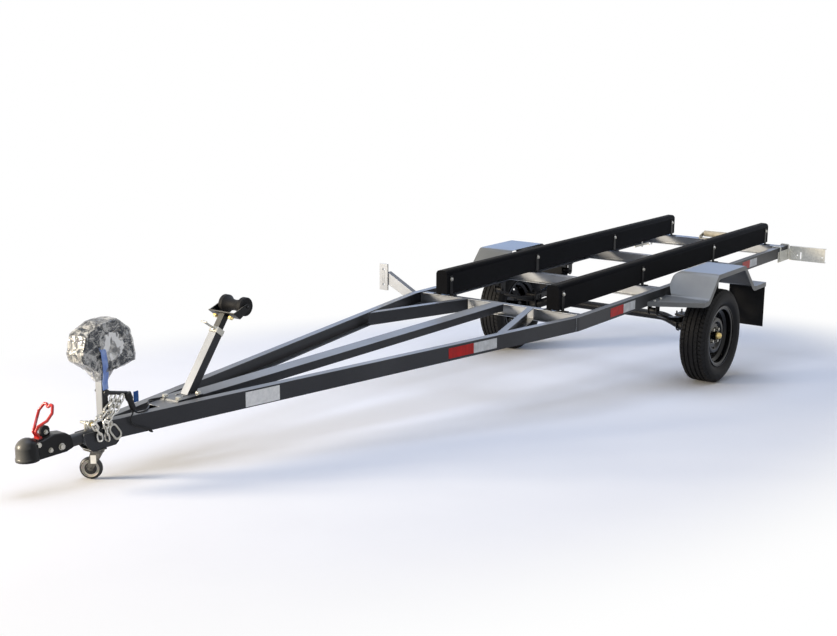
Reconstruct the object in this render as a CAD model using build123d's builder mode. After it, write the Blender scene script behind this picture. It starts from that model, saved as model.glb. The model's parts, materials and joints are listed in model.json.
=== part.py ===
"""Single-axle boat trailer, parked nose down on the caster under its tongue.

Units are millimetres. The chassis is drawn level in its own frame: +X forward to the coupler,
+Y left, +Z up, with the axle over X = 0. Everything the chassis carries is then tipped about the
axle by NOSE_DOWN, the angle at which the small caster wheel stands on the same ground as the tyres.
The parked trailer is written with its origin on the ground under the middle of its length.
"""
from build123d import *
from math import asin, atan2, cos, degrees, floor, hypot, radians, sin, tan
import os

os.makedirs("parts", exist_ok=True)

# ------------------------------------------------------------------ driving dimensions
# wheels: a 175/70 R13 tyre on a 13 inch steel rim
TYRE_R = 287.5
TYRE_W = 175.0
TREAD_W = 128.0
RIM_FLANGE_R = 186.0
RIM_SEAT_R = 167.0
TRACK_HALF = 718.0

# chassis rails: 76 x 40 x 4 channel, web outside, flanges inwards
RIDE_H = 324.5
RAIL_H = 76.0
RAIL_W = 40.0
RAIL_T = 4.0
RAIL_HALF = 558.0
RAIL_REAR_X = -1718.0
KINK_X = 1362.0
RAIL_FRONT_X = 4098.0
RAIL_FRONT_HALF = 31.0

# centre beam: a flat box from the front cross member towards the tongue
BEAM_W = 84.0
BEAM_H = 40.0
BEAM_T = 4.0

# cross members and the bunks that they carry
CROSS_W = 40.0
CROSS_T = 4.0
BUNK_W = 76.0
BUNK_H = 136.0
BUNK_INSET = 153.0
BUNK_FRONT_X = 1319.0
BUNK_REAR_X = -1694.0
BUNK_GAP = 12.0

# running gear: a bowed axle tube hung under two leaf springs
AXLE_TUBE_R = 27.0
AXLE_RISE = 77.0
AXLE_BEND_R = 180.0
STUB_R = 16.0
SPRING_HALF = 430.0
LEAF_W = 45.0
LEAF_T = 7.0
LEAF_HALVES = [430.0, 345.0, 260.0, 180.0, 105.0]
PERCH_T = 12.0
EYE_DROP = 48.5

# tongue
BOX_L = 99.0
BOX_H = 77.0
BOX_DROP = 27.0
BOX_T = 5.0
TUBE_R = 24.0
TUBE_T = 5.0
COUPLER_DROP = 46.0
SLEEVE_AHEAD = 152.0
BALL_AHEAD = 334.0
BALL_R = 25.0
HEAD_R = 42.0
HEAD_WALL_UP = 26.0

# caster under the tongue
CASTER_R = 45.0
CASTER_W = 28.0
CASTER_H = 126.0
CASTER_TRAIL = 28.0
CASTER_AHEAD = 18.0
CASTER_TURN = -53.7

# winch post
WPOST_L = 30.0
WPOST_W = 40.0
WPOST_H = 200.0
WPOST_BEHIND = 16.0

# bow stop
BOW_BEHIND = 458.0
BOW_LEAN = 37.0
BOW_POST_L = 300.0
BOW_OUTER = 40.0
BOW_WALL = 4.0
BOW_ROLLER_R = 40.0
BOW_ROLLER_W = 132.0

# fenders
FENDER_W = 242.0
FENDER_INSET = 118.0
FENDER_T = 3.0
FENDER_RISE = 89.0
FENDER_FOLD = 45.0
FENDER_LIP = 28.0

# light plates at the tail
PLATE_BEHIND = 24.0
PLATE_T = 4.0
PLATE_REACH = 258.0
PLATE_H = 101.0
PLATE_UNDER = 113.0
PLATE_RETURN = 24.0

# running fits and seats
FIT = 0.05
CLEAR = 0.3

# levels worked out from the sizes above
RAIL_TOP = TYRE_R + RIDE_H
RAIL_BOTTOM = RAIL_TOP - RAIL_H
CROSS_TOP = RAIL_TOP - RAIL_T
CROSS_H = RAIL_H - 2 * RAIL_T
BUNK_BOTTOM = CROSS_TOP + BUNK_GAP
BUNK_Y = RAIL_HALF - BUNK_INSET - BUNK_W / 2
SPRING_Y = RAIL_HALF - RAIL_W / 2
BOX_TOP = RAIL_TOP - BOX_DROP
BOX_BOTTOM = BOX_TOP - BOX_H
COUPLER_Z = RAIL_TOP - COUPLER_DROP
COUPLER_REAR_X = RAIL_FRONT_X + SLEEVE_AHEAD
BALL_X = RAIL_FRONT_X + BALL_AHEAD
CASTER_X = RAIL_FRONT_X + CASTER_AHEAD
WPOST_X = RAIL_FRONT_X - WPOST_BEHIND
BOW_BASE_X = RAIL_FRONT_X - BOW_BEHIND
PLATE_X = RAIL_REAR_X - PLATE_BEHIND
PLATE_LOW = RAIL_TOP - PLATE_UNDER
HEAD_TOP = COUPLER_Z + HEAD_WALL_UP

# name, front face X, opening towards the front
CROSS_MEMBERS = [
    ("cross_member_front", 1300.0),
    ("cross_member_second", 345.0),
    ("cross_member_third", -697.0),
    ("cross_member_rear", -1620.0),
]

# the angle that sets the tyres and the caster wheel on one flat ground
_caster_dx = CASTER_X + CASTER_TRAIL * cos(radians(CASTER_TURN))
_caster_dz = (BOX_BOTTOM - CASTER_H + CASTER_R) - TYRE_R
_caster_reach = hypot(_caster_dx, _caster_dz)
NOSE_DOWN = degrees(atan2(_caster_dz, _caster_dx) + asin((TYRE_R - CASTER_R) / _caster_reach))
AXLE_LINE = Axis((0, 0, TYRE_R), (0, 1, 0))
SIDES = [("left", 1), ("right", -1)]


def parked_x(x, z):
    """How far forward of the axle a chassis point ends up once the chassis is tipped."""
    return x * cos(radians(NOSE_DOWN)) + (z - TYRE_R) * sin(radians(NOSE_DOWN))


MIDDLE_X = (parked_x(BALL_X + HEAD_R, HEAD_TOP) + parked_x(PLATE_X - PLATE_RETURN, PLATE_LOW)) / 2


def write(piece, label, tipped=True):
    """Tip a chassis piece to the parked attitude, label it and write its STEP file."""
    if tipped:
        piece = piece.rotate(AXLE_LINE, NOSE_DOWN)
    piece = piece.moved(Location((-MIDDLE_X, 0, 0)))
    piece.label = label
    export_step(piece, f"parts/{label}.step")


def handed(piece, side):
    """Give the right-hand twin of a piece drawn for the left."""
    return piece if side > 0 else piece.mirror(Plane.XZ)


def lateral(x, y, z):
    """Side-view plane through a point: local X forward, local Y up; an extrusion runs to the right."""
    return Plane(origin=(x, y, z), x_dir=(1, 0, 0), z_dir=(0, -1, 0))


def section(x, y, z):
    """Cross-section plane through a point: local X to the left, local Y up; an extrusion runs forward."""
    return Plane(origin=(x, y, z), x_dir=(0, 1, 0), z_dir=(1, 0, 0))


# ------------------------------------------------------------------ side rails
RAIL_PATH = [(RAIL_FRONT_X, RAIL_FRONT_HALF), (KINK_X, RAIL_HALF), (RAIL_REAR_X, RAIL_HALF)]
RAKE = atan2(RAIL_HALF - RAIL_FRONT_HALF, RAIL_FRONT_X - KINK_X)


def rail_line(inset):
    """Plan line of the left rail, moved inwards from its outer face by inset."""
    (front_x, front_y), (kink_x, kink_y), (rear_x, rear_y) = RAIL_PATH
    return [
        (front_x, front_y - inset / cos(RAKE)),
        (kink_x - inset * tan(RAKE / 2), kink_y - inset),
        (rear_x, rear_y - inset),
    ]


def rail_strip(inset):
    """Plan outline of a strip of the left rail, from its outer face to inset."""
    return rail_line(0) + rail_line(inset)[::-1]


# the flanges stop short of the middle, where the two rails come together at the tongue
MIDLINE = Plane(origin=(0, CLEAR / 2, 0), z_dir=(0, 1, 0))
for side_name, side in SIDES:
    with BuildPart() as rail:
        for inset, low, high in [
            (RAIL_T, RAIL_BOTTOM, RAIL_TOP),
            (RAIL_W, RAIL_TOP - RAIL_T, RAIL_TOP),
            (RAIL_W, RAIL_BOTTOM, RAIL_BOTTOM + RAIL_T),
        ]:
            with BuildSketch(Plane.XY.offset(low)):
                Polygon(*rail_strip(inset), align=None)
            extrude(amount=high - low)
        split(bisect_by=MIDLINE, keep=Keep.TOP)
    write(handed(rail.part, side), f"side_rail_{side_name}")

# ------------------------------------------------------------------ centre beam and braces
CM1_X = CROSS_MEMBERS[0][1]
BEAM_CORNER_Y = BEAM_W / 2 + RAIL_W / cos(RAKE)
BEAM_FRONT_X = RAIL_FRONT_X - (BEAM_CORNER_Y - RAIL_FRONT_HALF) / tan(RAKE) - 4
with BuildPart() as centre_beam:
    with BuildSketch(Plane.YZ.offset(CM1_X)):
        with Locations((0, CROSS_TOP - BEAM_H / 2)):
            Rectangle(BEAM_W, BEAM_H)
            Rectangle(BEAM_W - 2 * BEAM_T, BEAM_H - 2 * BEAM_T, mode=Mode.SUBTRACT)
    extrude(amount=BEAM_FRONT_X - CM1_X)
write(centre_beam.part, "centre_beam")

# a brace is a channel on edge from the front cross member out to the rail, cut to meet both
BRACE_IN_Y = 215.0
BRACE_OUT_X = 1905.0
BRACE_W = 38.0
BRACE_OUT_Y = RAIL_FRONT_HALF + (RAIL_FRONT_X - BRACE_OUT_X) * tan(RAKE) - RAIL_W / cos(RAKE)
BRACE_ANGLE = atan2(BRACE_OUT_Y - BRACE_IN_Y, BRACE_OUT_X - CM1_X)
BRACE_FOOT = BRACE_W / 2 / cos(BRACE_ANGLE)
# the outer end is cut along the rail's flange edge
BRACE_REACH = BRACE_W / 2 / sin(BRACE_ANGLE + RAKE)
WEB_FOOT = RAIL_T / cos(BRACE_ANGLE)
WEB_REACH = RAIL_T / sin(BRACE_ANGLE + RAKE)


def brace_end(reach):
    """Plan point on the rail's flange edge, reach ahead of the brace's middle line."""
    return BRACE_OUT_X + reach * cos(RAKE), BRACE_OUT_Y - reach * sin(RAKE)


BRACE_FLANGE = [
    (CM1_X, BRACE_IN_Y - BRACE_FOOT), brace_end(BRACE_REACH),
    brace_end(-BRACE_REACH), (CM1_X, BRACE_IN_Y + BRACE_FOOT),
]
BRACE_WEB = [
    (CM1_X, BRACE_IN_Y - BRACE_FOOT), brace_end(BRACE_REACH),
    brace_end(BRACE_REACH - WEB_REACH), (CM1_X, BRACE_IN_Y - BRACE_FOOT + WEB_FOOT),
]
BRACE_LAYERS = [
    # outline, underside Z, height
    (BRACE_FLANGE, CROSS_TOP - RAIL_T, RAIL_T),
    (BRACE_FLANGE, RAIL_BOTTOM + RAIL_T, RAIL_T),
    (BRACE_WEB, RAIL_BOTTOM + RAIL_T, CROSS_H),
]
with BuildPart() as braces:
    for outline, low, height in BRACE_LAYERS:
        for _, side in SIDES:
            with BuildSketch(Plane.XY.offset(low)):
                Polygon(*[(x, side * y) for x, y in outline], align=None)
            extrude(amount=height)
write(braces.part, "diagonal_braces")

# ------------------------------------------------------------------ cross members
CROSS_HALF = RAIL_HALF - RAIL_T
CROSS_BOTTOM = CROSS_TOP - CROSS_H
CROSS_LAYERS = [
    # underside Z, height, depth, set back from the front face
    (CROSS_TOP - CROSS_T, CROSS_T, CROSS_W, 0),
    (CROSS_BOTTOM, CROSS_T, CROSS_W, 0),
    (CROSS_BOTTOM, CROSS_H, CROSS_T, CROSS_W - CROSS_T),
]
for name, front_x in CROSS_MEMBERS:
    with BuildPart() as cross:
        for low, height, depth, back in CROSS_LAYERS:
            with BuildSketch(Plane.XY.offset(low)):
                with Locations((front_x - back - depth / 2, 0)):
                    Rectangle(depth, 2 * CROSS_HALF)
            extrude(amount=height)
    write(cross.part, name)

# an angle bar closes the tail between the rails
TAIL_BAR_H = 18.0
TAIL_BAR_L = 22.0
TAIL_BAR_TOP = RAIL_TOP - 9
with BuildPart() as tail_bar:
    with BuildSketch(lateral(RAIL_REAR_X, CROSS_HALF, TAIL_BAR_TOP - TAIL_BAR_H)):
        Polygon(
            (0, 0), (RAIL_T, 0), (RAIL_T, TAIL_BAR_H - RAIL_T), (TAIL_BAR_L, TAIL_BAR_H - RAIL_T),
            (TAIL_BAR_L, TAIL_BAR_H), (0, TAIL_BAR_H), align=None)
    extrude(amount=2 * CROSS_HALF)
write(tail_bar.part, "tail_bar")

# ------------------------------------------------------------------ bunks and their brackets
BUNK_ROUND = 24.0
BRACKET_W = 28.0
BRACKET_T = 5.0
BRACKET_UP = 116.0
BRACKET_FOOT = 34.0
BRACKET_BOLT_R = 8.0
BRACKET_BOLT_DROP = 20.0
BRACKET_ANGLE = [
    # away from the bunk's face, above the cross member
    (0, 0), (BRACKET_FOOT, 0), (BRACKET_FOOT, BRACKET_T),
    (BRACKET_T, BRACKET_T), (BRACKET_T, BRACKET_UP), (0, BRACKET_UP),
]

for side_name, side in SIDES:
    with BuildPart() as bunk:
        with BuildSketch(Plane.YZ.offset(BUNK_REAR_X)):
            with Locations((BUNK_Y, BUNK_BOTTOM + BUNK_H / 2)):
                plank = Rectangle(BUNK_W, BUNK_H)
            fillet(plank.vertices().group_by(Axis.Y)[-1], BUNK_ROUND)
            fillet(plank.vertices().group_by(Axis.Y)[0], BUNK_ROUND / 4)
        extrude(amount=BUNK_FRONT_X - BUNK_REAR_X)
    write(handed(bunk.part, side), f"bunk_{side_name}")

with BuildPart() as bunk_brackets:
    for _, front_x in CROSS_MEMBERS:
        x = front_x - CROSS_W / 2
        for bunk_y in (BUNK_Y, -BUNK_Y):
            for face in (1, -1):
                y = bunk_y + face * BUNK_W / 2
                with BuildSketch(Plane.YZ.offset(x - BRACKET_W / 2)):
                    Polygon(*[(y + face * out, CROSS_TOP + up) for out, up in BRACKET_ANGLE], align=None)
                extrude(amount=BRACKET_W)
                bolt_z = CROSS_TOP + BRACKET_UP - BRACKET_BOLT_DROP
                with BuildSketch(Plane(origin=(x, y + face * BRACKET_T, bolt_z), z_dir=(0, face, 0))):
                    Circle(BRACKET_BOLT_R)
                extrude(amount=6)
write(bunk_brackets.part, "bunk_brackets")

# ------------------------------------------------------------------ axle, springs, hangers
AXLE_MID_Z = TYRE_R + AXLE_RISE
AXLE_BEND_IN = SPRING_Y - 128
AXLE_BEND_OUT = SPRING_Y + 62
AXLE_SLOPE = atan2(AXLE_RISE, AXLE_BEND_OUT - AXLE_BEND_IN)
AXLE_END = TRACK_HALF - 78
STUB_END = TRACK_HALF + 40
PERCH_L = 50.0


def axle_z(y):
    """Height of the tube's middle line on the slope between its two bends."""
    return AXLE_MID_Z - (y - AXLE_BEND_IN) * tan(AXLE_SLOPE)


PACK_BOTTOM = axle_z(SPRING_Y) + AXLE_TUBE_R / cos(AXLE_SLOPE) + PERCH_T
MAIN_TOP = PACK_BOTTOM + LEAF_T * len(LEAF_HALVES)
EYE_Z = RAIL_BOTTOM - EYE_DROP
SPRING_RISE = EYE_Z - MAIN_TOP
ARC_R = (SPRING_HALF**2 + SPRING_RISE**2) / (2 * SPRING_RISE)
EYE_R = 19.0
EYE_PIN_R = 8.0

with BuildPart() as axle_beam:
    with BuildLine(Plane.YZ) as axle_line:
        FilletPolyline(
            (AXLE_END, TYRE_R), (AXLE_BEND_OUT, TYRE_R), (AXLE_BEND_IN, AXLE_MID_Z),
            (-AXLE_BEND_IN, AXLE_MID_Z), (-AXLE_BEND_OUT, TYRE_R), (-AXLE_END, TYRE_R), radius=AXLE_BEND_R)
    with BuildSketch(lateral(0, AXLE_END, TYRE_R)):
        Circle(AXLE_TUBE_R)
    sweep(path=axle_line.line)
    for _, side in SIDES:
        with BuildSketch(lateral(0, side * (AXLE_END + STUB_END) / 2 + (STUB_END - AXLE_END) / 2, TYRE_R)):
            Circle(STUB_R)
        extrude(amount=STUB_END - AXLE_END)
        with BuildSketch(Plane.XY.offset(axle_z(SPRING_Y))):
            with Locations((0, side * SPRING_Y)):
                Rectangle(PERCH_L, LEAF_W + 4)
        extrude(amount=PACK_BOTTOM - axle_z(SPRING_Y))
write(axle_beam.part, "axle_beam")

for side_name, side in SIDES:
    with BuildPart() as spring:
        for k, half in enumerate(LEAF_HALVES):
            inner = ARC_R + k * LEAF_T
            with BuildSketch(lateral(0, SPRING_Y + LEAF_W / 2, MAIN_TOP + ARC_R)):
                Circle(inner + LEAF_T)
                Circle(inner, mode=Mode.SUBTRACT)
                with Locations((0, -ARC_R)):
                    Rectangle(2 * half, 4 * SPRING_RISE, mode=Mode.INTERSECT)
            extrude(amount=LEAF_W)
        for end in (1, -1):
            with BuildSketch(lateral(end * SPRING_HALF, SPRING_Y + LEAF_W / 2, EYE_Z)):
                Circle(EYE_R)
            extrude(amount=LEAF_W)
            with BuildSketch(lateral(end * SPRING_HALF, SPRING_Y + LEAF_W / 2, EYE_Z)):
                Circle(EYE_PIN_R + 0.1)
            extrude(amount=LEAF_W, mode=Mode.SUBTRACT)
    write(handed(spring.part, side), f"leaf_spring_{side_name}")

HANGER_T = 5.0
HANGER_W = 56.0
HANGER_GAP = 0.5
PIN_END = 8.0
CHEEK_R = HANGER_W / 2 - 4
CHEEK_MID = LEAF_W / 2 + HANGER_GAP + HANGER_T / 2
HANGER_FOOT_Z = RAIL_BOTTOM - HANGER_T
with BuildPart() as spring_hangers:
    for _, side in SIDES:
        for end in (1, -1):
            x, y = end * SPRING_HALF, side * SPRING_Y
            with BuildSketch(Plane.XY.offset(HANGER_FOOT_Z)):
                with Locations((x, y)):
                    Rectangle(HANGER_W, 2 * (CHEEK_MID + HANGER_T / 2))
            extrude(amount=HANGER_T)
            for cheek in (1, -1):
                with BuildSketch(lateral(x, y + cheek * CHEEK_MID + HANGER_T / 2, 0)):
                    with Locations((0, EYE_Z)):
                        Circle(CHEEK_R)
                    with Locations((0, (EYE_Z + HANGER_FOOT_Z) / 2)):
                        Rectangle(2 * CHEEK_R, HANGER_FOOT_Z - EYE_Z)
                extrude(amount=HANGER_T)
            with BuildSketch(lateral(x, y + LEAF_W / 2 + HANGER_T + PIN_END, EYE_Z)):
                Circle(EYE_PIN_R)
            extrude(amount=LEAF_W + 2 * (HANGER_T + PIN_END))
write(spring_hangers.part, "spring_hangers")

# two U-bolts hook under the axle tube and clamp the leaves below a top plate
CLAMP_L = 96.0
CLAMP_W = 82.0
CLAMP_T = 8.0
ROD_R = 5.0
U_BEND_R = 36.5
U_OFFSET = LEAF_W / 2 + 7.5
CLAMP_Z = MAIN_TOP + CLAMP_L**2 / 8 / ARC_R + FIT
ROD_TOP = CLAMP_Z + CLAMP_T + 18
with BuildPart() as spring_clamps:
    for _, side in SIDES:
        with BuildSketch(Plane.XY.offset(CLAMP_Z)):
            with Locations((0, side * SPRING_Y)):
                RectangleRounded(CLAMP_L, CLAMP_W, 8)
        extrude(amount=CLAMP_T)
        for reach in (SPRING_Y - U_OFFSET, SPRING_Y + U_OFFSET):
            with BuildLine(lateral(0, side * reach, axle_z(reach))) as hook:
                Line((-U_BEND_R, ROD_TOP - axle_z(reach)), (-U_BEND_R, 0))
                JernArc((-U_BEND_R, 0), (0, -1), U_BEND_R, 180)
                Line((U_BEND_R, 0), (U_BEND_R, ROD_TOP - axle_z(reach)))
            with BuildSketch(Plane(origin=(-U_BEND_R, side * reach, ROD_TOP), z_dir=(0, 0, -1))):
                Circle(ROD_R)
            sweep(path=hook.line)
write(spring_clamps.part, "spring_clamps")

# ------------------------------------------------------------------ wheels
MOUNT_Y = 20.0
HUB_FLANGE_R = 64.0
HUB_FLANGE_T = 12.0
HUB_BARREL_R = 36.0
HUB_INNER_Y = -62.0
HUB_OUTER_Y = 46.0
STUD_PCD = 100.0
NUT_R = 10.0
PILOT_R = 28.0
CAP_R = 24.0
CAP_DOME_R = 22.75
CAP_DOME_Y = 51.25


def wheel_plane():
    """Half-profile plane of the left wheel: local X along the axle, local Y outwards from it."""
    return Plane(origin=(0, TRACK_HALF, TYRE_R), x_dir=(0, 1, 0), z_dir=(1, 0, 0))


WHEEL_AXIS = Axis((0, TRACK_HALF, TYRE_R), (0, 1, 0))

with BuildPart() as hub:
    with BuildSketch(wheel_plane()):
        Polygon(
            (HUB_INNER_Y, 0), (HUB_INNER_Y, HUB_BARREL_R), (MOUNT_Y - HUB_FLANGE_T, HUB_BARREL_R),
            (MOUNT_Y - HUB_FLANGE_T, HUB_FLANGE_R), (MOUNT_Y, HUB_FLANGE_R), (MOUNT_Y, PILOT_R),
            (HUB_OUTER_Y, PILOT_R), (HUB_OUTER_Y, 0), align=None)
    revolve(axis=WHEEL_AXIS)
    with BuildSketch(lateral(0, STUB_END + 2, TYRE_R)):
        Circle(STUB_R + FIT)
    extrude(amount=STUB_END + 2 - TRACK_HALF - HUB_INNER_Y + 1, mode=Mode.SUBTRACT)

with BuildPart() as cap:
    with BuildSketch(wheel_plane()):
        with BuildLine():
            dome = CenterArc((CAP_DOME_Y, 0), CAP_DOME_R, 0, 67.38)
            Polyline(dome @ 1, (HUB_OUTER_Y + 6, CAP_R), (HUB_OUTER_Y, CAP_R), (HUB_OUTER_Y, 0), dome @ 0)
        make_face()
    revolve(axis=WHEEL_AXIS)

RIM_T = 3.5
WELL_R = RIM_SEAT_R - 21
SEAT_EDGE = 62.0
VENT_PCD = 242.0
with BuildPart() as rim:
    with BuildSketch(wheel_plane()):
        with BuildLine():
            outline = FilletPolyline(
                (-70, RIM_FLANGE_R), (-64, RIM_FLANGE_R), (-SEAT_EDGE, RIM_SEAT_R), (-40, RIM_SEAT_R - 2),
                (-30, WELL_R), (22, WELL_R), (34, RIM_SEAT_R - 2), (SEAT_EDGE, RIM_SEAT_R),
                (64, RIM_FLANGE_R), (71, RIM_FLANGE_R), radius=1.6)
            offset(outline, amount=RIM_T, side=Side.RIGHT)
        make_face()
    revolve(axis=WHEEL_AXIS)
    with BuildSketch(wheel_plane()):
        with BuildLine():
            disc = FilletPolyline(
                (MOUNT_Y, PILOT_R + 0.2), (MOUNT_Y, 74), (MOUNT_Y + 13, 86), (MOUNT_Y + 13, 104),
                (MOUNT_Y - 6, 132), (MOUNT_Y - 9, WELL_R - 2.5), radius=6)
            offset(disc, amount=4, side=Side.RIGHT)
        make_face()
    revolve(axis=WHEEL_AXIS)
    with BuildSketch(lateral(0, TRACK_HALF + 60, TYRE_R)):
        with PolarLocations(VENT_PCD / 2, 12):
            SlotOverall(24, 11, rotation=90)
    extrude(amount=90, mode=Mode.SUBTRACT)
    with BuildSketch(lateral(0, TRACK_HALF + MOUNT_Y + 16, TYRE_R)):
        with PolarLocations(STUD_PCD / 2, 4, start_angle=45):
            RegularPolygon(NUT_R, 6)
    extrude(amount=12)

TREAD_GROOVES = [-42.0, -15.0, 15.0, 42.0]
GROOVE_W = 8.0
GROOVE_D = 7.0
BULGE_R = (RIM_FLANGE_R + TYRE_R) / 2 - 2.75
SHOULDER = [
    # along the axle, from it
    (TREAD_W / 2 + 5, TYRE_R - 8.5), (TREAD_W / 2 + 2, TYRE_R - 3.5), (TREAD_W / 2 - 4, TYRE_R - 1.9)]
BEAD = [
    (59, RIM_SEAT_R + CLEAR), (61.3, RIM_SEAT_R + 2.5), (63, RIM_FLANGE_R + 0.5), (66, RIM_FLANGE_R + 6)]
BEAD_TOE = 44.0
CAVITY = [(56, RIM_FLANGE_R + 4), (TYRE_W / 2 - 12, BULGE_R), (50, TYRE_R - 19.5)]


def across(points):
    """Mirror wheel-profile points to the inner side of the wheel."""
    return [(-y, r) for y, r in points]


with BuildPart() as tyre:
    with BuildSketch(wheel_plane()):
        with BuildLine():
            Polyline(*BEAD)
            ThreePointArc(BEAD[-1], (TYRE_W / 2, BULGE_R), SHOULDER[0])
            ThreePointArc(*SHOULDER)
            ThreePointArc(SHOULDER[-1], (0, TYRE_R), across(SHOULDER)[-1])
            ThreePointArc(*across(SHOULDER)[::-1])
            ThreePointArc(across(SHOULDER)[0], (-TYRE_W / 2, BULGE_R), across(BEAD)[-1])
            Polyline(*across(BEAD)[::-1], (-BEAD_TOE, BEAD[0][1]), across(CAVITY)[0])
            ThreePointArc(*across(CAVITY))
            Line(across(CAVITY)[-1], CAVITY[-1])
            ThreePointArc(*CAVITY[::-1])
            Polyline(CAVITY[0], (BEAD_TOE, BEAD[0][1]), BEAD[0])
        make_face()
        with Locations(*[(y, TYRE_R) for y in TREAD_GROOVES]):
            Rectangle(GROOVE_W, 2 * GROOVE_D, mode=Mode.SUBTRACT)
    revolve(axis=WHEEL_AXIS)

for side_name, side in SIDES:
    for piece, label in [(hub, "hub"), (cap, "grease_cap"), (rim, "wheel_rim"), (tyre, "tyre")]:
        write(handed(piece.part, side), f"{label}_{side_name}", tipped=False)

# ------------------------------------------------------------------ fenders and mudflaps
FENDER_TOP = RAIL_TOP + FENDER_RISE
FENDER_IN = TRACK_HALF - FENDER_INSET
FENDER_OUT = FENDER_IN + FENDER_W
FRONT_Z = RAIL_TOP - 47
REAR_Z = RAIL_TOP - 67
# side view of the folded sheet, from the front flange to the rear flange
FRONT_FOLD_X = 333.0
REAR_FOLD_X = -363.0
FOLDS = [(FRONT_FOLD_X, FRONT_Z), (204.0, FENDER_TOP), (-202.0, FENDER_TOP), (REAR_FOLD_X, REAR_Z)]
FRONT_FLANGE_X = 560.0
FRONT_CORNER_X = 400.0
REAR_FLANGE_X = -556.0
FLANGE_START = 24.0
FLAP_BOTTOM = 256.0
FLAP_T = 5.0
SHEET_IN = RAIL_HALF + 4
# the sheet's inner edge in plan: it swells towards the rail halfway down the front slope
INNER_CUTS = [
    [(REAR_FOLD_X - 10, SHEET_IN - 1), (REAR_FOLD_X - 10, FENDER_IN), (186, FENDER_IN), (206, FENDER_IN - 9),
     (222, SHEET_IN + 8), (238, SHEET_IN - 1)],
    [(270, SHEET_IN - 1), (286, SHEET_IN + 6), (309, FENDER_IN - 16), (330, FENDER_IN), (330, SHEET_IN - 1)],
]
FRONT_FLANGE = [
    (FRONT_FOLD_X + FLANGE_START, RAIL_HALF), (FRONT_FLANGE_X, RAIL_HALF),
    (FRONT_CORNER_X, FENDER_OUT), (FRONT_FOLD_X + FLANGE_START, FENDER_OUT)]
FRONT_LIP = [
    (FRONT_FLANGE_X - 4, RAIL_HALF), (FRONT_FLANGE_X, RAIL_HALF),
    (FRONT_CORNER_X, FENDER_OUT), (FRONT_CORNER_X - 4, FENDER_OUT)]
REAR_FLANGE = [
    (REAR_FLANGE_X, RAIL_HALF), (REAR_FOLD_X - FLANGE_START, RAIL_HALF),
    (REAR_FOLD_X - FLANGE_START, FENDER_OUT), (REAR_FLANGE_X, FENDER_OUT)]
REAR_LIP = [
    (REAR_FLANGE_X, RAIL_HALF), (REAR_FLANGE_X + FENDER_T, RAIL_HALF),
    (REAR_FLANGE_X + FENDER_T, FENDER_OUT), (REAR_FLANGE_X, FENDER_OUT)]
FLANGE_LAYERS = [
    # outline, upper face Z, depth
    (FRONT_FLANGE, FRONT_Z, FENDER_T), (FRONT_LIP, FRONT_Z, FENDER_LIP),
    (REAR_FLANGE, REAR_Z, FENDER_T), (REAR_LIP, REAR_Z, FENDER_LIP)]
SHEETS = [
    # front end X, rear end X, depth of the band, width from the outer edge
    (FRONT_FOLD_X + FLANGE_START, REAR_FOLD_X - FLANGE_START, FENDER_T, FENDER_OUT - SHEET_IN),
    (FRONT_CORNER_X, REAR_FLANGE_X, FENDER_LIP, FENDER_T)]

for side_name, side in SIDES:
    with BuildPart() as fender:
        for front_x, rear_x, depth, width in SHEETS:
            with BuildSketch(lateral(0, FENDER_OUT, 0)):
                with BuildLine():
                    sheet = FilletPolyline((front_x, FRONT_Z), *FOLDS, (rear_x, REAR_Z), radius=FENDER_FOLD)
                    offset(sheet, amount=depth, side=Side.LEFT)
                make_face()
            extrude(amount=width)
        with BuildSketch(Plane.XY.offset(REAR_Z - FENDER_LIP)):
            for cut in INNER_CUTS:
                Polygon(*cut, align=None)
        extrude(amount=FENDER_TOP - REAR_Z + FENDER_LIP + 1, mode=Mode.SUBTRACT)
        for outline, top, depth in FLANGE_LAYERS:
            with BuildSketch(Plane.XY.offset(top - depth)):
                Polygon(*outline, align=None)
            extrude(amount=depth)
    write(handed(fender.part, side), f"fender_{side_name}")

    flap_top = REAR_Z - FENDER_T
    with BuildPart() as flap:
        with BuildSketch(Plane.YZ.offset(REAR_FLANGE_X + FENDER_T)):
            with Locations(((FENDER_IN + FENDER_OUT) / 2 - 2, (FLAP_BOTTOM + flap_top) / 2)):
                Rectangle(FENDER_W - 6, flap_top - FLAP_BOTTOM)
        extrude(amount=FLAP_T)
    write(handed(flap.part, side), f"mudflap_{side_name}")

# ------------------------------------------------------------------ tail: light brackets, keel roller
PLATE_OUT = RAIL_HALF + PLATE_REACH
HOLE_R = 5.5
HOLE_YS = (PLATE_OUT - 199, PLATE_OUT - 19)
HOLE_Z = PLATE_LOW + 39
SLOT_Y = RAIL_HALF + 84
SLOT_L = 52.0
SLOT_W = 10.0
FOOT_L = 235.0
FOOT_H = 76.0
GUSSET_L = 68.0
U_ROD_R = 5.0
U_XS = (PLATE_X + 54, PLATE_X + 214)
U_OUT_Y = RAIL_HALF + PLATE_T + U_ROD_R + 0.4
U_IN_Y = RAIL_HALF - RAIL_W - U_ROD_R - 2
U_LOW = RAIL_BOTTOM - 20
U_TOP = RAIL_TOP + U_ROD_R + 0.5

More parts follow.
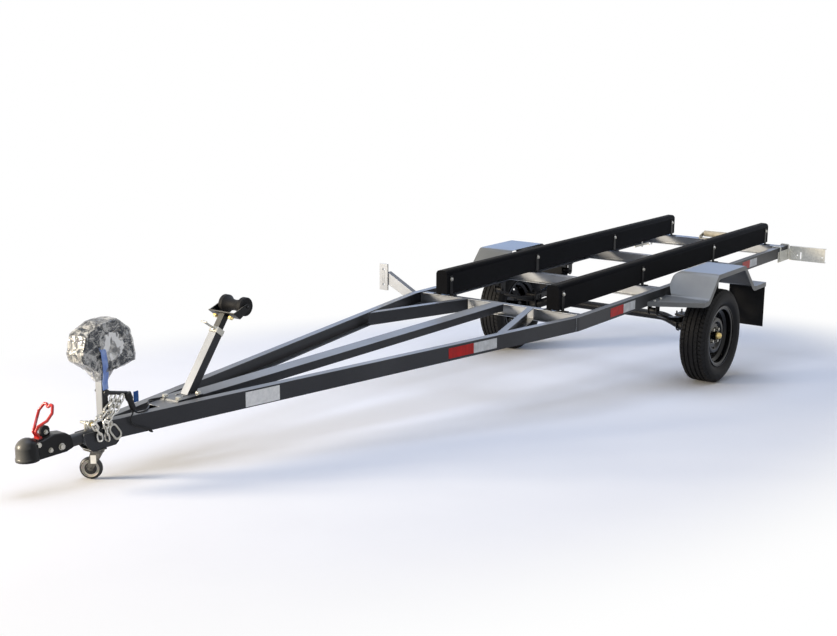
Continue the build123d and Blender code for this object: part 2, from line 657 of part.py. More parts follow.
for side_name, side in SIDES:
    with BuildPart() as light_bracket:
        with BuildSketch(Plane.YZ.offset(PLATE_X)):
            with Locations(((RAIL_HALF + PLATE_OUT) / 2, PLATE_LOW + PLATE_H / 2)):
                Rectangle(PLATE_REACH, PLATE_H)
            with Locations(*[(y, HOLE_Z) for y in HOLE_YS]):
                Circle(HOLE_R, mode=Mode.SUBTRACT)
            with Locations((SLOT_Y, HOLE_Z)):
                SlotOverall(SLOT_L, SLOT_W, rotation=90, mode=Mode.SUBTRACT)
        extrude(amount=PLATE_T)
        # top and bottom returns of the plate
        for z in (PLATE_LOW, PLATE_LOW + PLATE_H - PLATE_T):
            with BuildSketch(Plane.XY.offset(z)):
                with Locations((PLATE_X - PLATE_RETURN / 2, (RAIL_HALF + PLATE_OUT) / 2)):
                    Rectangle(PLATE_RETURN, PLATE_REACH)
            extrude(amount=PLATE_T)
        # foot along the rail's outer face
        foot_low = PLATE_LOW + 9
        with BuildSketch(lateral(PLATE_X, RAIL_HALF + PLATE_T, foot_low)):
            Rectangle(FOOT_L, FOOT_H, align=(Align.MIN, Align.MIN))
        extrude(amount=PLATE_T)
        # gusset from the foot to the plate
        with BuildSketch(Plane.YZ.offset(PLATE_X + PLATE_T)):
            with Locations((RAIL_HALF, foot_low)):
                Polygon((0, 0), (GUSSET_L, 0), (PLATE_T, GUSSET_L), (0, GUSSET_L), align=None)
        extrude(amount=PLATE_T)
        # two U-bolts over the rail
        for x in U_XS:
            with BuildLine(Plane.YZ.offset(x)) as hook:
                FilletPolyline(
                    (U_OUT_Y, U_LOW), (U_OUT_Y, U_TOP), (U_IN_Y, U_TOP), (U_IN_Y, U_LOW), radius=7)
            with BuildSketch(Plane(origin=(x, U_OUT_Y, U_LOW), z_dir=(0, 0, 1))):
                Circle(U_ROD_R)
            sweep(path=hook.line)
            for y in (U_OUT_Y, U_IN_Y):
                with BuildSketch(Plane.XY.offset(RAIL_BOTTOM - 12)):
                    with Locations((x, y)):
                        RegularPolygon(9, 6)
                extrude(amount=8)
    write(handed(light_bracket.part, side), f"light_bracket_{side_name}")

KEEL_X = RAIL_REAR_X + 18
KEEL_Z = RAIL_TOP + 26
KEEL_R = 22.0
KEEL_W = 176.0
KEEL_PIN_R = 7.0
EAR_T = 6.0
EAR_R = 14.0
EAR_GAP = 1.5
KEEL_BASE_T = 5.0
KEEL_BASE_FRONT = CROSS_MEMBERS[3][1]
KEEL_BASE_REAR = KEEL_BASE_FRONT - CROSS_W
EAR_OUTER_Y = KEEL_W / 2 + EAR_GAP + EAR_T
with BuildPart() as keel_bracket:
    with BuildSketch(Plane.XY.offset(CROSS_TOP)):
        with Locations(((KEEL_BASE_FRONT + KEEL_BASE_REAR) / 2, 0)):
            Rectangle(CROSS_W, 2 * EAR_OUTER_Y)
    extrude(amount=KEEL_BASE_T)
    for outer_y in (EAR_OUTER_Y, EAR_T - EAR_OUTER_Y):
        with BuildSketch(lateral(0, outer_y, 0)):
            with Locations((KEEL_X, KEEL_Z)):
                Circle(EAR_R)
            Polygon(
                (KEEL_BASE_FRONT - 4, CROSS_TOP), (KEEL_BASE_REAR, CROSS_TOP), (KEEL_X - 10, KEEL_Z - 9),
                (KEEL_X + 4, KEEL_Z + 13), (KEEL_BASE_FRONT - 4, CROSS_TOP + 22), align=None)
        extrude(amount=EAR_T)
    with BuildSketch(lateral(KEEL_X, EAR_OUTER_Y + 8, KEEL_Z)):
        Circle(KEEL_PIN_R)
    extrude(amount=2 * (EAR_OUTER_Y + 8))
write(keel_bracket.part, "keel_roller_bracket")

with BuildPart() as keel_roller:
    with BuildSketch(lateral(KEEL_X, KEEL_W / 2, KEEL_Z)):
        Circle(KEEL_R)
        Circle(KEEL_PIN_R + FIT, mode=Mode.SUBTRACT)
    extrude(amount=KEEL_W)
    chamfer(keel_roller.edges().filter_by(GeomType.CIRCLE).sort_by(SortBy.RADIUS)[-2:], 3)
write(keel_roller.part, "keel_roller")

# ------------------------------------------------------------------ spare wheel carrier, right rail
CARRIER_X = 1300.0
CARRIER_W = 36.0
CARRIER_REACH = 188.0
CARRIER_PLATE_T = 8.0
CARRIER_MID = (-RAIL_HALF - 210, RAIL_TOP + 66)
CARRIER_BOLT_R = 7.0
CARRIER_BOLT_PITCH = 90.0
with BuildPart() as spare_carrier:
    with BuildSketch(Plane.YZ.offset(CARRIER_X)):
        Polygon(
            (-RAIL_HALF, RAIL_TOP - 4), (-RAIL_HALF - CARRIER_REACH, RAIL_TOP + 96),
            (-RAIL_HALF - CARRIER_REACH, RAIL_TOP + 24), (-RAIL_HALF, RAIL_BOTTOM + 12), align=None)
    extrude(amount=CARRIER_W)
    with BuildSketch(Plane.YZ.offset(CARRIER_X + CARRIER_W)):
        with Locations(CARRIER_MID):
            Rectangle(60, 156)
            with GridLocations(0, CARRIER_BOLT_PITCH, 1, 2):
                Circle(CARRIER_BOLT_R, mode=Mode.SUBTRACT)
    extrude(amount=CARRIER_PLATE_T)
write(spare_carrier.part, "spare_wheel_carrier")

# ------------------------------------------------------------------ tongue and coupler
# two side plates, a bottom plate and a rear wall; the tail of the box hangs under the rails
BOX_INNER = TUBE_R + 0.15
BOX_HALF = BOX_INNER + BOX_T
BOX_OUTLINE = [
    # ahead of the rails' front, above the box's underside
    (-50, 0), (64, 0), (92, 32), (BOX_L, 70), (BOX_L, BOX_H), (0, BOX_H), (0, RAIL_BOTTOM - BOX_BOTTOM),
    (-68, RAIL_BOTTOM - BOX_BOTTOM), (-64, 10)]
BOX_HOLLOWS = [
    # from, to (ahead of the rails' front)
    (BOX_T, BOX_L + 1), (-69, 0)]
with BuildPart() as tongue_box:
    with BuildSketch(lateral(RAIL_FRONT_X, BOX_HALF, BOX_BOTTOM)):
        Polygon(*BOX_OUTLINE, align=None)
    extrude(amount=2 * BOX_HALF)
    for start, end in BOX_HOLLOWS:
        with BuildSketch(Plane.XY.offset(BOX_BOTTOM + BOX_T)):
            with Locations((RAIL_FRONT_X + (start + end) / 2, 0)):
                Rectangle(end - start, 2 * BOX_INNER)
        extrude(amount=BOX_H, mode=Mode.SUBTRACT)
write(tongue_box.part, "tongue_box")

SLEEVE_R = TUBE_R + 5
SLEEVE_DEPTH = 60.0
TUBE_REAR_X = RAIL_FRONT_X + BOX_T
with BuildPart() as tongue_tube:
    with BuildSketch(Plane.YZ.offset(TUBE_REAR_X)):
        with Locations((0, COUPLER_Z)):
            Circle(TUBE_R)
            Circle(TUBE_R - TUBE_T, mode=Mode.SUBTRACT)
    extrude(amount=COUPLER_REAR_X + SLEEVE_DEPTH - TUBE_REAR_X)
write(tongue_tube.part, "tongue_tube")

LEVER_X = BALL_X - 50
LEVER_BASE = COUPLER_Z + 47
SOCKET_Z = COUPLER_Z - 6
SOCKET_R = BALL_R + 0.5
BODY_HALF = 31.0
BODY_LOW = COUPLER_Z - 24
BODY_OUTLINE = [
    # ahead of the ball, above the body's underside
    (-182, 10), (-150, 0), (0, 0), (0, 68), (-51, 67), (-103, 78), (-150, 72), (-172, 56)]
HEAD_PROFILE = [(0, 0), (HEAD_R + 2, 0), (HEAD_R + 2, 10), (HEAD_R, 14)]
DOME_TOP = 85.0
DOME_RISE = DOME_TOP - (HEAD_TOP - BODY_LOW)
DOME_R = (HEAD_R**2 + DOME_RISE**2) / (2 * DOME_RISE)
DOME_START = degrees(asin((DOME_R - DOME_RISE) / DOME_R))
EAR_HALF = 8.0
LEVER_EAR = (BALL_X - 78, COUPLER_Z + 71)
LEVER_EAR_R = 19.0
with BuildPart() as coupler:
    with BuildSketch(lateral(BALL_X, BODY_HALF, BODY_LOW)):
        Polygon(*BODY_OUTLINE, align=None)
    extrude(amount=2 * BODY_HALF)
    long_edges = coupler.edges().filter_by(lambda edge: abs(edge.tangent_at(0.5).Y) < 0.01)
    fillet(long_edges.filter_by(lambda edge: edge.center().Z > COUPLER_Z + 40), 9)
    with BuildSketch(Plane.YZ.offset(COUPLER_REAR_X)):
        with Locations((0, COUPLER_Z)):
            Circle(SLEEVE_R)
    extrude(amount=SLEEVE_DEPTH)
    with BuildSketch(lateral(BALL_X, 0, BODY_LOW)):
        with BuildLine():
            dome = CenterArc((0, DOME_TOP - DOME_R), DOME_R, DOME_START, 90 - DOME_START)
            Polyline(dome @ 1, *HEAD_PROFILE, dome @ 0)
        make_face()
    revolve(axis=Axis((BALL_X, 0, 0), (0, 0, 1)))
    # ear behind the lever, and the flat boss that the lever stands on
    with BuildSketch(lateral(0, EAR_HALF, 0)):
        with Locations(LEVER_EAR):
            Circle(LEVER_EAR_R)
        with Locations((LEVER_EAR[0], COUPLER_Z + 50)):
            Rectangle(2 * LEVER_EAR_R, 42)
    extrude(amount=2 * EAR_HALF)
    with BuildSketch(Plane.XY.offset(COUPLER_Z + 20)):
        with Locations((LEVER_X, 0)):
            RectangleRounded(30, 40, 6)
    extrude(amount=LEVER_BASE - COUPLER_Z - 20)
    with BuildSketch(Plane.YZ.offset(COUPLER_REAR_X - 1)):
        with Locations((0, COUPLER_Z)):
            Circle(TUBE_R + 0.1)
    extrude(amount=SLEEVE_DEPTH + 1, mode=Mode.SUBTRACT)
    with BuildSketch(lateral(BALL_X, 0, SOCKET_Z)):
        with BuildLine():
            mouth = BODY_LOW - SOCKET_Z - 1
            Polyline((0, SOCKET_R), (0, mouth), (SOCKET_R, mouth), (SOCKET_R, 0))
            RadiusArc((SOCKET_R, 0), (0, SOCKET_R), -SOCKET_R)
        make_face()
    revolve(axis=Axis((BALL_X, 0, 0), (0, 0, 1)), mode=Mode.SUBTRACT)
write(coupler.part, "coupler_housing")

# a heart-shaped loop of rod: two feet side by side, and a loop that leans back over the sleeve
LEVER_ROD = 5.5
LEVER_ROUTE = [
    # ahead of the feet, left of the middle, above the feet
    (0, 8, 4), (14, 8, 28), (4, 9, 46), (-22, 30, 66), (-40, 38, 92), (-54, 24, 116), (-56, 10, 116),
    (-50, 0, 104)]
with BuildPart() as coupler_lever:
    with BuildLine() as loop:
        near = [(LEVER_X + x, y, LEVER_BASE + z) for x, y, z in LEVER_ROUTE]
        far = [(x, -y, z) for x, y, z in near[-2::-1]]
        FilletPolyline(*near, *far, radius=6)
    with BuildSketch(Plane(origin=loop.line @ 0, z_dir=loop.line % 0)):
        Circle(LEVER_ROD)
    sweep(path=loop.line)
    with BuildSketch(Plane.XY.offset(LEVER_BASE)):
        with Locations((LEVER_X, 0)):
            RectangleRounded(16, 32, 4)
    extrude(amount=8)
write(coupler_lever.part, "coupler_lever")

# ------------------------------------------------------------------ caster
TURN = radians(CASTER_TURN)
CASTER = Plane(origin=(CASTER_X, 0, BOX_BOTTOM), x_dir=(cos(TURN), sin(TURN), 0), z_dir=(0, 0, 1))
PLATE_DROP = 5.0
CUP_DROP = 16.0
CUP_R = 26.0
KING_R = 8.0
CROWN_T = 3.0
CASTER_AXLE_DROP = CASTER_H - CASTER_R
CASTER_PIN_R = 5.0
LEG_T = 3.0
LEG_Y = CASTER_W / 2 + 2 + LEG_T

with BuildPart() as caster_plate:
    with BuildSketch(Plane.XY.offset(BOX_BOTTOM - PLATE_DROP)):
        with Locations((CASTER_X + 12, 0)):
            RectangleRounded(68, 64, 6)
    extrude(amount=PLATE_DROP)
    with BuildSketch(Plane.XY.offset(BOX_BOTTOM - CUP_DROP)):
        with Locations((CASTER_X, 0)):
            Circle(CUP_R)
    extrude(amount=CUP_DROP - PLATE_DROP)
    with BuildSketch(Plane.XY.offset(BOX_BOTTOM - CUP_DROP)):
        with Locations((CASTER_X, 0)):
            Circle(KING_R + FIT)
    extrude(amount=CUP_DROP - 2, mode=Mode.SUBTRACT)
write(caster_plate.part, "caster_plate")

CROWN_LOW = -(CUP_DROP + CLEAR + CROWN_T)
KING_TOP = -2.5
LEG_OUTLINE = [
    # forward of the swivel, below the box
    (-20, CROWN_LOW), (26, CROWN_LOW), (CASTER_TRAIL + 11, -CASTER_AXLE_DROP),
    (CASTER_TRAIL + 4, -CASTER_AXLE_DROP - 9), (CASTER_TRAIL - 8, -CASTER_AXLE_DROP - 7)]


def caster_side(along, out, up):
    """Side-view plane of the caster: local X along its trail, local Y up; an extrusion runs to its right."""
    return Plane(origin=CASTER.from_local_coords((along, out, up)), x_dir=CASTER.x_dir, z_dir=-CASTER.y_dir)


with BuildPart() as caster_fork:
    with BuildSketch(CASTER.offset(CROWN_LOW)):
        with Locations((3, 0)):
            RectangleRounded(46, 2 * LEG_Y, 4)
    extrude(amount=CROWN_T)
    with BuildSketch(CASTER.offset(CROWN_LOW)):
        Circle(KING_R)
    extrude(amount=KING_TOP - CROWN_LOW)
    for leg_y in (LEG_Y, LEG_T - LEG_Y):
        with BuildSketch(caster_side(0, leg_y, 0)):
            Polygon(*LEG_OUTLINE, align=None)
        extrude(amount=LEG_T)
    with BuildSketch(caster_side(CASTER_TRAIL, LEG_Y + 4, -CASTER_AXLE_DROP)):
        Circle(CASTER_PIN_R)
    extrude(amount=2 * (LEG_Y + 4))
write(caster_fork.part, "caster_fork")

HALF_W = CASTER_W / 2
CASTER_HUB_R = 15.0
CASTER_RIM_R = 33.0
with BuildPart() as caster_wheel:
    wheel_middle = CASTER.from_local_coords((CASTER_TRAIL, 0, -CASTER_AXLE_DROP))
    with BuildSketch(Plane(origin=wheel_middle, x_dir=CASTER.y_dir, z_dir=CASTER.x_dir)):
        with BuildLine():
            Polyline(
                (HALF_W - 1, CASTER_RIM_R), (HALF_W - 4, CASTER_RIM_R - 2), (HALF_W - 4, CASTER_HUB_R + 3),
                (HALF_W, CASTER_HUB_R), (HALF_W, CASTER_PIN_R + FIT), (-HALF_W, CASTER_PIN_R + FIT),
                (-HALF_W, CASTER_HUB_R), (4 - HALF_W, CASTER_HUB_R + 3), (4 - HALF_W, CASTER_RIM_R - 2),
                (1 - HALF_W, CASTER_RIM_R))
            ThreePointArc((HALF_W - 1, CASTER_RIM_R), (0, CASTER_R), (1 - HALF_W, CASTER_RIM_R))
        make_face()
    revolve(axis=Axis(wheel_middle, CASTER.y_dir))
write(caster_wheel.part, "caster_wheel")

# ------------------------------------------------------------------ winch post and winch
WPOST_T = 3.0
WPOST_TOP = RAIL_TOP + WPOST_H
with BuildPart() as winch_post:
    with BuildSketch(Plane.XY.offset(RAIL_TOP)):
        with Locations((WPOST_X, 0)):
            RectangleRounded(WPOST_L, WPOST_W, 5)
            RectangleRounded(WPOST_L - 2 * WPOST_T, WPOST_W - 2 * WPOST_T, 2, mode=Mode.SUBTRACT)
    extrude(amount=WPOST_H)
write(winch_post.part, "winch_post")

# the winch's housing: two cheeks under an arched cover, open towards the boat
WINCH_X = WPOST_X + 16
DRUM_X = WINCH_X - 38
DRUM_Z = WPOST_TOP + 92
CHEEK_Y = 42.0
CHEEK_T = 4.0
SHAFT_R = 9.0
WINCH_OUTLINE = [
    # ahead of the winch post's front face, above its top
    (-50, 0), (26, 0), (94, 48), (100, 76), (80, 147),
    (10, 182), (-74, 188), (-128, 140), (-148, 48), (-146, 17)]
with BuildPart() as winch_frame:
    with BuildSketch(lateral(WINCH_X, CHEEK_Y, WPOST_TOP)):
        Polygon(*WINCH_OUTLINE, align=None)
    extrude(amount=2 * CHEEK_Y)
    with BuildSketch(lateral(WINCH_X, CHEEK_Y - CHEEK_T, WPOST_TOP)):
        Polygon(*WINCH_OUTLINE, align=None)
        offset(amount=-CHEEK_T, mode=Mode.REPLACE)
    extrude(amount=2 * (CHEEK_Y - CHEEK_T), mode=Mode.SUBTRACT)
    # mouth for the strap, low on the side towards the boat
    with BuildSketch(Plane.YZ.offset(WINCH_X - 160)):
        with Locations((0, WPOST_TOP + 82)):
            RectangleRounded(60, 84, 8)
    extrude(amount=60, mode=Mode.SUBTRACT)
    with BuildSketch(lateral(DRUM_X, CHEEK_Y, DRUM_Z)):
        Circle(SHAFT_R + FIT)
    extrude(amount=2 * CHEEK_Y, mode=Mode.SUBTRACT)
write(winch_frame.part, "winch_frame")

DRUM_HALF = CHEEK_Y - CHEEK_T - CLEAR
DRUM_PROFILE = [
    # along the shaft, from it
    (-CHEEK_Y - 4, 0), (-CHEEK_Y - 4, SHAFT_R), (-DRUM_HALF, SHAFT_R), (-DRUM_HALF, 60), (4 - DRUM_HALF, 60),
    (4 - DRUM_HALF, 46), (DRUM_HALF - 4, 46), (DRUM_HALF - 4, 60), (DRUM_HALF, 60), (DRUM_HALF, SHAFT_R),
    (CHEEK_Y + 4, SHAFT_R), (CHEEK_Y + 4, 0)]
with BuildPart() as winch_drum:
    with BuildSketch(section(DRUM_X, 0, DRUM_Z)):
        Polygon(*DRUM_PROFILE, align=None)
    revolve(axis=Axis((DRUM_X, 0, DRUM_Z), (0, 1, 0)))
write(winch_drum.part, "winch_drum")

# ------------------------------------------------------------------ bow stop
LEAN = radians(BOW_LEAN)
BOW_BASE_T = 8.0
BOW_BASE_L = 142.0
BOW_BASE_MID_X = BOW_BASE_X + 35
# the base plate lies on the beam between the rails' flanges, cut to the whole millimetre
BOW_BASE_CLEAR = 3.0
BOW_BASE_FRONT_X = BOW_BASE_MID_X + BOW_BASE_L / 2
FLANGE_GAP = RAIL_FRONT_HALF + (RAIL_FRONT_X - BOW_BASE_FRONT_X) * tan(RAKE) - RAIL_W / cos(RAKE)
BOW_BASE_HALF = floor(FLANGE_GAP - BOW_BASE_CLEAR)
BOW_Z = CROSS_TOP + BOW_BASE_T
BOW_INNER = 30.0
BOW_SLIDE_FIT = 0.3
COLLAR_H = 24.0
ARM_LOW = 150.0
ARM_HIGH = 366.0


def bow_plane(s=0.0):
    """Plane square to the leaning post, s along it: local X is forward and up, local Y to the left."""
    return Plane(
        origin=(BOW_BASE_X - s * sin(LEAN), 0, BOW_Z + s * cos(LEAN)),
        x_dir=(cos(LEAN), 0, sin(LEAN)), z_dir=(-sin(LEAN), 0, cos(LEAN)))


BOW_PIN_POINT = bow_plane(430.5).from_local_coords((-36.2, 0, 0))
BOW_PIN = (BOW_PIN_POINT.X, BOW_PIN_POINT.Z)
BOW_PIN_R = 6.0

with BuildPart() as bow_base:
    with BuildSketch(Plane.XY.offset(CROSS_TOP)):
        with Locations((BOW_BASE_MID_X, 0)):
            RectangleRounded(BOW_BASE_L, 2 * BOW_BASE_HALF, 5)
    extrude(amount=BOW_BASE_T)
write(bow_base.part, "bow_stop_base")

with BuildPart() as bow_post:
    with BuildSketch(bow_plane(-30)):
        Rectangle(BOW_OUTER, BOW_OUTER)
        Rectangle(BOW_OUTER - 2 * BOW_WALL, BOW_OUTER - 2 * BOW_WALL, mode=Mode.SUBTRACT)
    extrude(amount=30 + BOW_POST_L - COLLAR_H)
    split(bisect_by=Plane.XY.offset(BOW_Z), keep=Keep.TOP)
write(bow_post.part, "bow_stop_post")

with BuildPart() as bow_collar:
    with BuildSketch(bow_plane(BOW_POST_L - COLLAR_H)):
        RectangleRounded(BOW_OUTER + 6, BOW_OUTER + 6, 4)
        Rectangle(BOW_INNER + 2 * BOW_SLIDE_FIT, BOW_INNER + 2 * BOW_SLIDE_FIT, mode=Mode.SUBTRACT)
    extrude(amount=COLLAR_H)
write(bow_collar.part, "bow_stop_collar")

with BuildPart() as bow_arm:
    with BuildSketch(bow_plane(ARM_LOW)):
        Rectangle(BOW_INNER, BOW_INNER)
        Rectangle(BOW_INNER - 6, BOW_INNER - 6, mode=Mode.SUBTRACT)
    extrude(amount=ARM_HIGH - ARM_LOW)
write(bow_arm.part, "bow_stop_arm")

YOKE_T = 5.0
YOKE_Y = BOW_ROLLER_W / 2 + 3
YOKE_BAR = 48.0
YOKE_OUTER_Y = YOKE_Y + YOKE_T
YOKE_FRONT = bow_plane(ARM_HIGH).from_local_coords((YOKE_BAR / 2, 0, 0))
YOKE_BACK = bow_plane(ARM_HIGH).from_local_coords((-YOKE_BAR / 2, 0, 0))
with BuildPart() as bow_yoke:
    with BuildSketch(bow_plane(ARM_HIGH)):
        Rectangle(YOKE_BAR, 2 * YOKE_OUTER_Y)
    extrude(amount=YOKE_T)
    for outer_y in (YOKE_OUTER_Y, YOKE_T - YOKE_OUTER_Y):
        with BuildSketch(lateral(0, outer_y, 0)):
            with Locations(BOW_PIN):
                Circle(15)
            Polygon(
                (YOKE_FRONT.X, YOKE_FRONT.Z), (YOKE_BACK.X, YOKE_BACK.Z),
                (BOW_PIN[0] - 10, BOW_PIN[1] - 11), (BOW_PIN[0] + 6, BOW_PIN[1] + 14), align=None)
        extrude(amount=YOKE_T)
    with BuildSketch(lateral(BOW_PIN[0], YOKE_OUTER_Y + 6, BOW_PIN[1])):
        Circle(BOW_PIN_R)
    extrude(amount=2 * (YOKE_OUTER_Y + 6))
write(bow_yoke.part, "bow_roller_yoke")

ROLLER_HALF = BOW_ROLLER_W / 2
WAIST_START = ROLLER_HALF - 22
WAIST_R = BOW_ROLLER_R - 17
with BuildPart() as bow_roller:
    with BuildSketch(section(BOW_PIN[0], 0, BOW_PIN[1])):
        with BuildLine():
            Polyline(
                (-WAIST_START, BOW_ROLLER_R), (4 - ROLLER_HALF, BOW_ROLLER_R),
                (-ROLLER_HALF, BOW_ROLLER_R - 4), (-ROLLER_HALF, BOW_PIN_R + FIT),
                (ROLLER_HALF, BOW_PIN_R + FIT), (ROLLER_HALF, BOW_ROLLER_R - 4),
                (ROLLER_HALF - 4, BOW_ROLLER_R), (WAIST_START, BOW_ROLLER_R))
            ThreePointArc((WAIST_START, BOW_ROLLER_R), (0, WAIST_R), (-WAIST_START, BOW_ROLLER_R))
        make_face()
    revolve(axis=Axis((BOW_PIN[0], 0, BOW_PIN[1]), (0, 1, 0)))
write(bow_roller.part, "bow_roller")

print("nose down", round(NOSE_DOWN, 3), "degrees, middle at", round(MIDDLE_X, 1), "mm ahead of the axle")
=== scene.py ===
# %% [markdown]
# # A boat trailer, from bare frame to finished model
# The trailer arrives from CAD as a fixed frame: every rail, bracket and wheel already has its real
# size and place. This notebook gives each piece the finish that the real one has, and adds the small
# things that are quicker to make with mesh tools: bolts, welds, tread, tape, chain and shipping film.
# Nothing that comes from CAD is moved.

# %% Load the frame
import json
import math

import bmesh
import bpy
from mathutils import Matrix, Vector, noise


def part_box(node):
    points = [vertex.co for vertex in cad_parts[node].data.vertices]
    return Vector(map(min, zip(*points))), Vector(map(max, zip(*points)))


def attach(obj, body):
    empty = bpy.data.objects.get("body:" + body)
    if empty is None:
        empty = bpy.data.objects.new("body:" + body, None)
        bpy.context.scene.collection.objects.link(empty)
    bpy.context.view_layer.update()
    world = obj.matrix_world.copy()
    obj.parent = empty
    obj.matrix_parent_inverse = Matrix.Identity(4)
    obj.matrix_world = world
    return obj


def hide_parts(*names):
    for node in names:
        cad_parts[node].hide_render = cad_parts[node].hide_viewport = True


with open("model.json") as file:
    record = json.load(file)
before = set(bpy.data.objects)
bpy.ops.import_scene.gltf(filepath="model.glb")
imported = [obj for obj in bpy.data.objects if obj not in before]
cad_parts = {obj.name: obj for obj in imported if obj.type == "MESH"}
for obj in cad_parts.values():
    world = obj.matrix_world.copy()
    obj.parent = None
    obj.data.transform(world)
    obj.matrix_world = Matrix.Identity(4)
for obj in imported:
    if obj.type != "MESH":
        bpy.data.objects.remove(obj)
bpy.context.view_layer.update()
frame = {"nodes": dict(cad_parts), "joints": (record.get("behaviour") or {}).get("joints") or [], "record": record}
nodes = frame["nodes"]

# %% [markdown]
# ## The chassis's own directions
# The parked trailer leans nose down on its caster, so "along the rail" and "square to the deck" are
# not the room's X and Z. Two joints in the frame say how it leans: the road wheels turn about the
# axle, and the caster's king pin stands square to the deck. A matrix made from them lets every
# added piece be drawn level, in plain chassis measures, and then be tipped with the rest.

# %% Chassis matrix
MM = 0.001
joints = {joint["name"]: joint for joint in frame["joints"]}
axle = Vector(joints["wheel_left_spin"]["pos_m"])
deck_up = Vector(joints["caster_turn"]["axis"]).normalized()
deck_forward = Vector((deck_up.z, 0, -deck_up.x))
deck_origin = Vector((axle.x, 0, axle.z)) - deck_up * axle.z
CHASSIS = Matrix((
    (deck_forward.x, 0, deck_up.x, deck_origin.x),
    (0, 1, 0, 0),
    (deck_forward.z, 0, deck_up.z, deck_origin.z),
    (0, 0, 0, 1),
))
print("nose down", round(math.degrees(math.asin(deck_up.x)), 2), "degrees")

# %% [markdown]
# ## Camera
# A long lens at the front left corner, a little over a metre high, looks down the trailer. The
# heading is measured from +X, and the small roll is how the camera was held.

# %% Camera
CAMERA_PLACE = Vector((5.8383, 3.6984, 1.3627))
CAMERA_HEADING = -144.287
CAMERA_PITCH = -8.083
CAMERA_ROLL = 3.357
CAMERA_LENS = 53.87


def show(thing):
    """Put an object in the scene."""
    bpy.context.scene.collection.objects.link(thing)
    return thing


camera = show(bpy.data.objects.new("camera", bpy.data.cameras.new("camera")))
camera.data.lens = CAMERA_LENS
camera.data.sensor_width = 36.0
camera.location = CAMERA_PLACE
look = Matrix.Rotation(math.radians(CAMERA_HEADING - 90), 4, "Z")
look @= Matrix.Rotation(math.radians(90 + CAMERA_PITCH), 4, "X")
look @= Matrix.Rotation(math.radians(CAMERA_ROLL), 4, "Z")
camera.rotation_euler = look.to_euler()
bpy.context.scene.camera = camera
print("camera", round((CAMERA_PLACE - axle).length, 2), "m from the axle")

# %% [markdown]
# ## Light
# A strong warm panel stands in front of the trailer and to its right, so whatever faces forward is
# bright and the long sides stay dark, as they do under a low sun. A wide cool panel overhead gives the
# whole frame its soft top light, and a weak one on the camera's side opens the shadows. The last panel
# stands low behind the trailer and is blue, so that tops seen at a flat angle mirror it as sky.

# %% Panels: name, place, aimed at, width, height, watts, colour
PANELS = [
    ("front_panel", (9.6, -4.8, 2.1), (0.4, 0, 0.5), 2.2, 1.8, 1550, "fff0d8"),
    ("sky_panel", (0.0, 0.0, 5.6), (0.0, 0, 0.4), 9.0, 4.0, 260, "d2e0ff"),
    ("side_panel", (4.5, 6.0, 2.2), (0.5, 0, 0.4), 3.0, 1.6, 30, "eef3ff"),
    ("blue_panel", (-7.6, -4.9, 2.5), (0.0, 0.2, 0.6), 7.0, 2.4, 130, "4f90dc"),
]


def srgb(text):
    """Turn a hex colour such as "3a3b3d" into linear values."""
    values = [int(text[i:i + 2], 16) / 255 for i in (0, 2, 4)]
    return [v / 12.92 if v <= 0.04045 else ((v + 0.055) / 1.055) ** 2.4 for v in values] + [1.0]


for name, place, target, width, height, watts, colour in PANELS:
    light = bpy.data.lights.new(name, "AREA")
    light.shape = "RECTANGLE"
    light.size = width
    light.size_y = height
    light.energy = watts
    light.color = srgb(colour)[:3]
    panel = show(bpy.data.objects.new(name, light))
    panel.location = place
    panel.rotation_euler = (Vector(target) - Vector(place)).to_track_quat("-Z", "Y").to_euler()
    panel.visible_camera = False
    print(name, watts, "W")

bpy.context.scene.view_settings.view_transform = "Standard"

# %% [markdown]
# ## A helper for shader nodes
# Every finish below is a small node tree. One function adds a node, sets its properties, input
# values and colour stops, and joins its inputs to earlier nodes, so each material reads from top to
# bottom.

# %% Node helper
def add(tree, kind, settings=None, values=None, links=None, stops=()):
    """Add a node. settings: its properties, values: input values, links: input to (node, output),
    stops: a colour ramp's (position, hex colour)."""
    node = tree.nodes.new(kind)
    for key, value in (settings or {}).items():
        setattr(node, key, value)
    for key, value in (values or {}).items():
        node.inputs[key].default_value = value
    for key, (source, output) in (links or {}).items():
        tree.links.new(source.outputs[output], node.inputs[key])
    for count, (position, colour) in enumerate(stops):
        ramp = node.color_ramp.elements
        stop = ramp[count] if count < 2 else ramp.new(position)
        stop.position = position
        stop.color = srgb(colour)
    return node


def finish(name, **shader_values):
    """Start a material: its tree, its Principled shader and the object coordinates."""
    material = bpy.data.materials.new(name)
    material.use_nodes = True
    tree = material.node_tree
    shader = tree.nodes["Principled BSDF"]
    for key, value in shader_values.items():
        shader.inputs[key.replace("_", " ")].default_value = value
    place = add(tree, "ShaderNodeTexCoord")
    return material, tree, shader, (place, "Object")


def join_up(tree, shader, colour, bump):
    """Give the shader a colour, as (node, output), and a bump."""
    tree.links.new(colour[0].outputs[colour[1]], shader.inputs["Base Color"])
    tree.links.new(bump.outputs["Normal"], shader.inputs["Normal"])


# %% [markdown]
# ## Floor and background
# The floor is a pale sheet that keeps the trailer's shadow. Some metres out it fades to plain white,
# where the camera and reflections see it, so no horizon shows. The fade is an oval, long like the
# trailer. The world does the same: it lights the scene softly, and the Light Path node makes it
# white wherever it is looked at.

# %% White where it is seen
WORLD_LIGHT = 0.22
FADE_START = 2.4
FADE_END = 3.8
FADE_OVAL = (0.72, 1.5, 1.0)
FLOOR_SIZE = 60


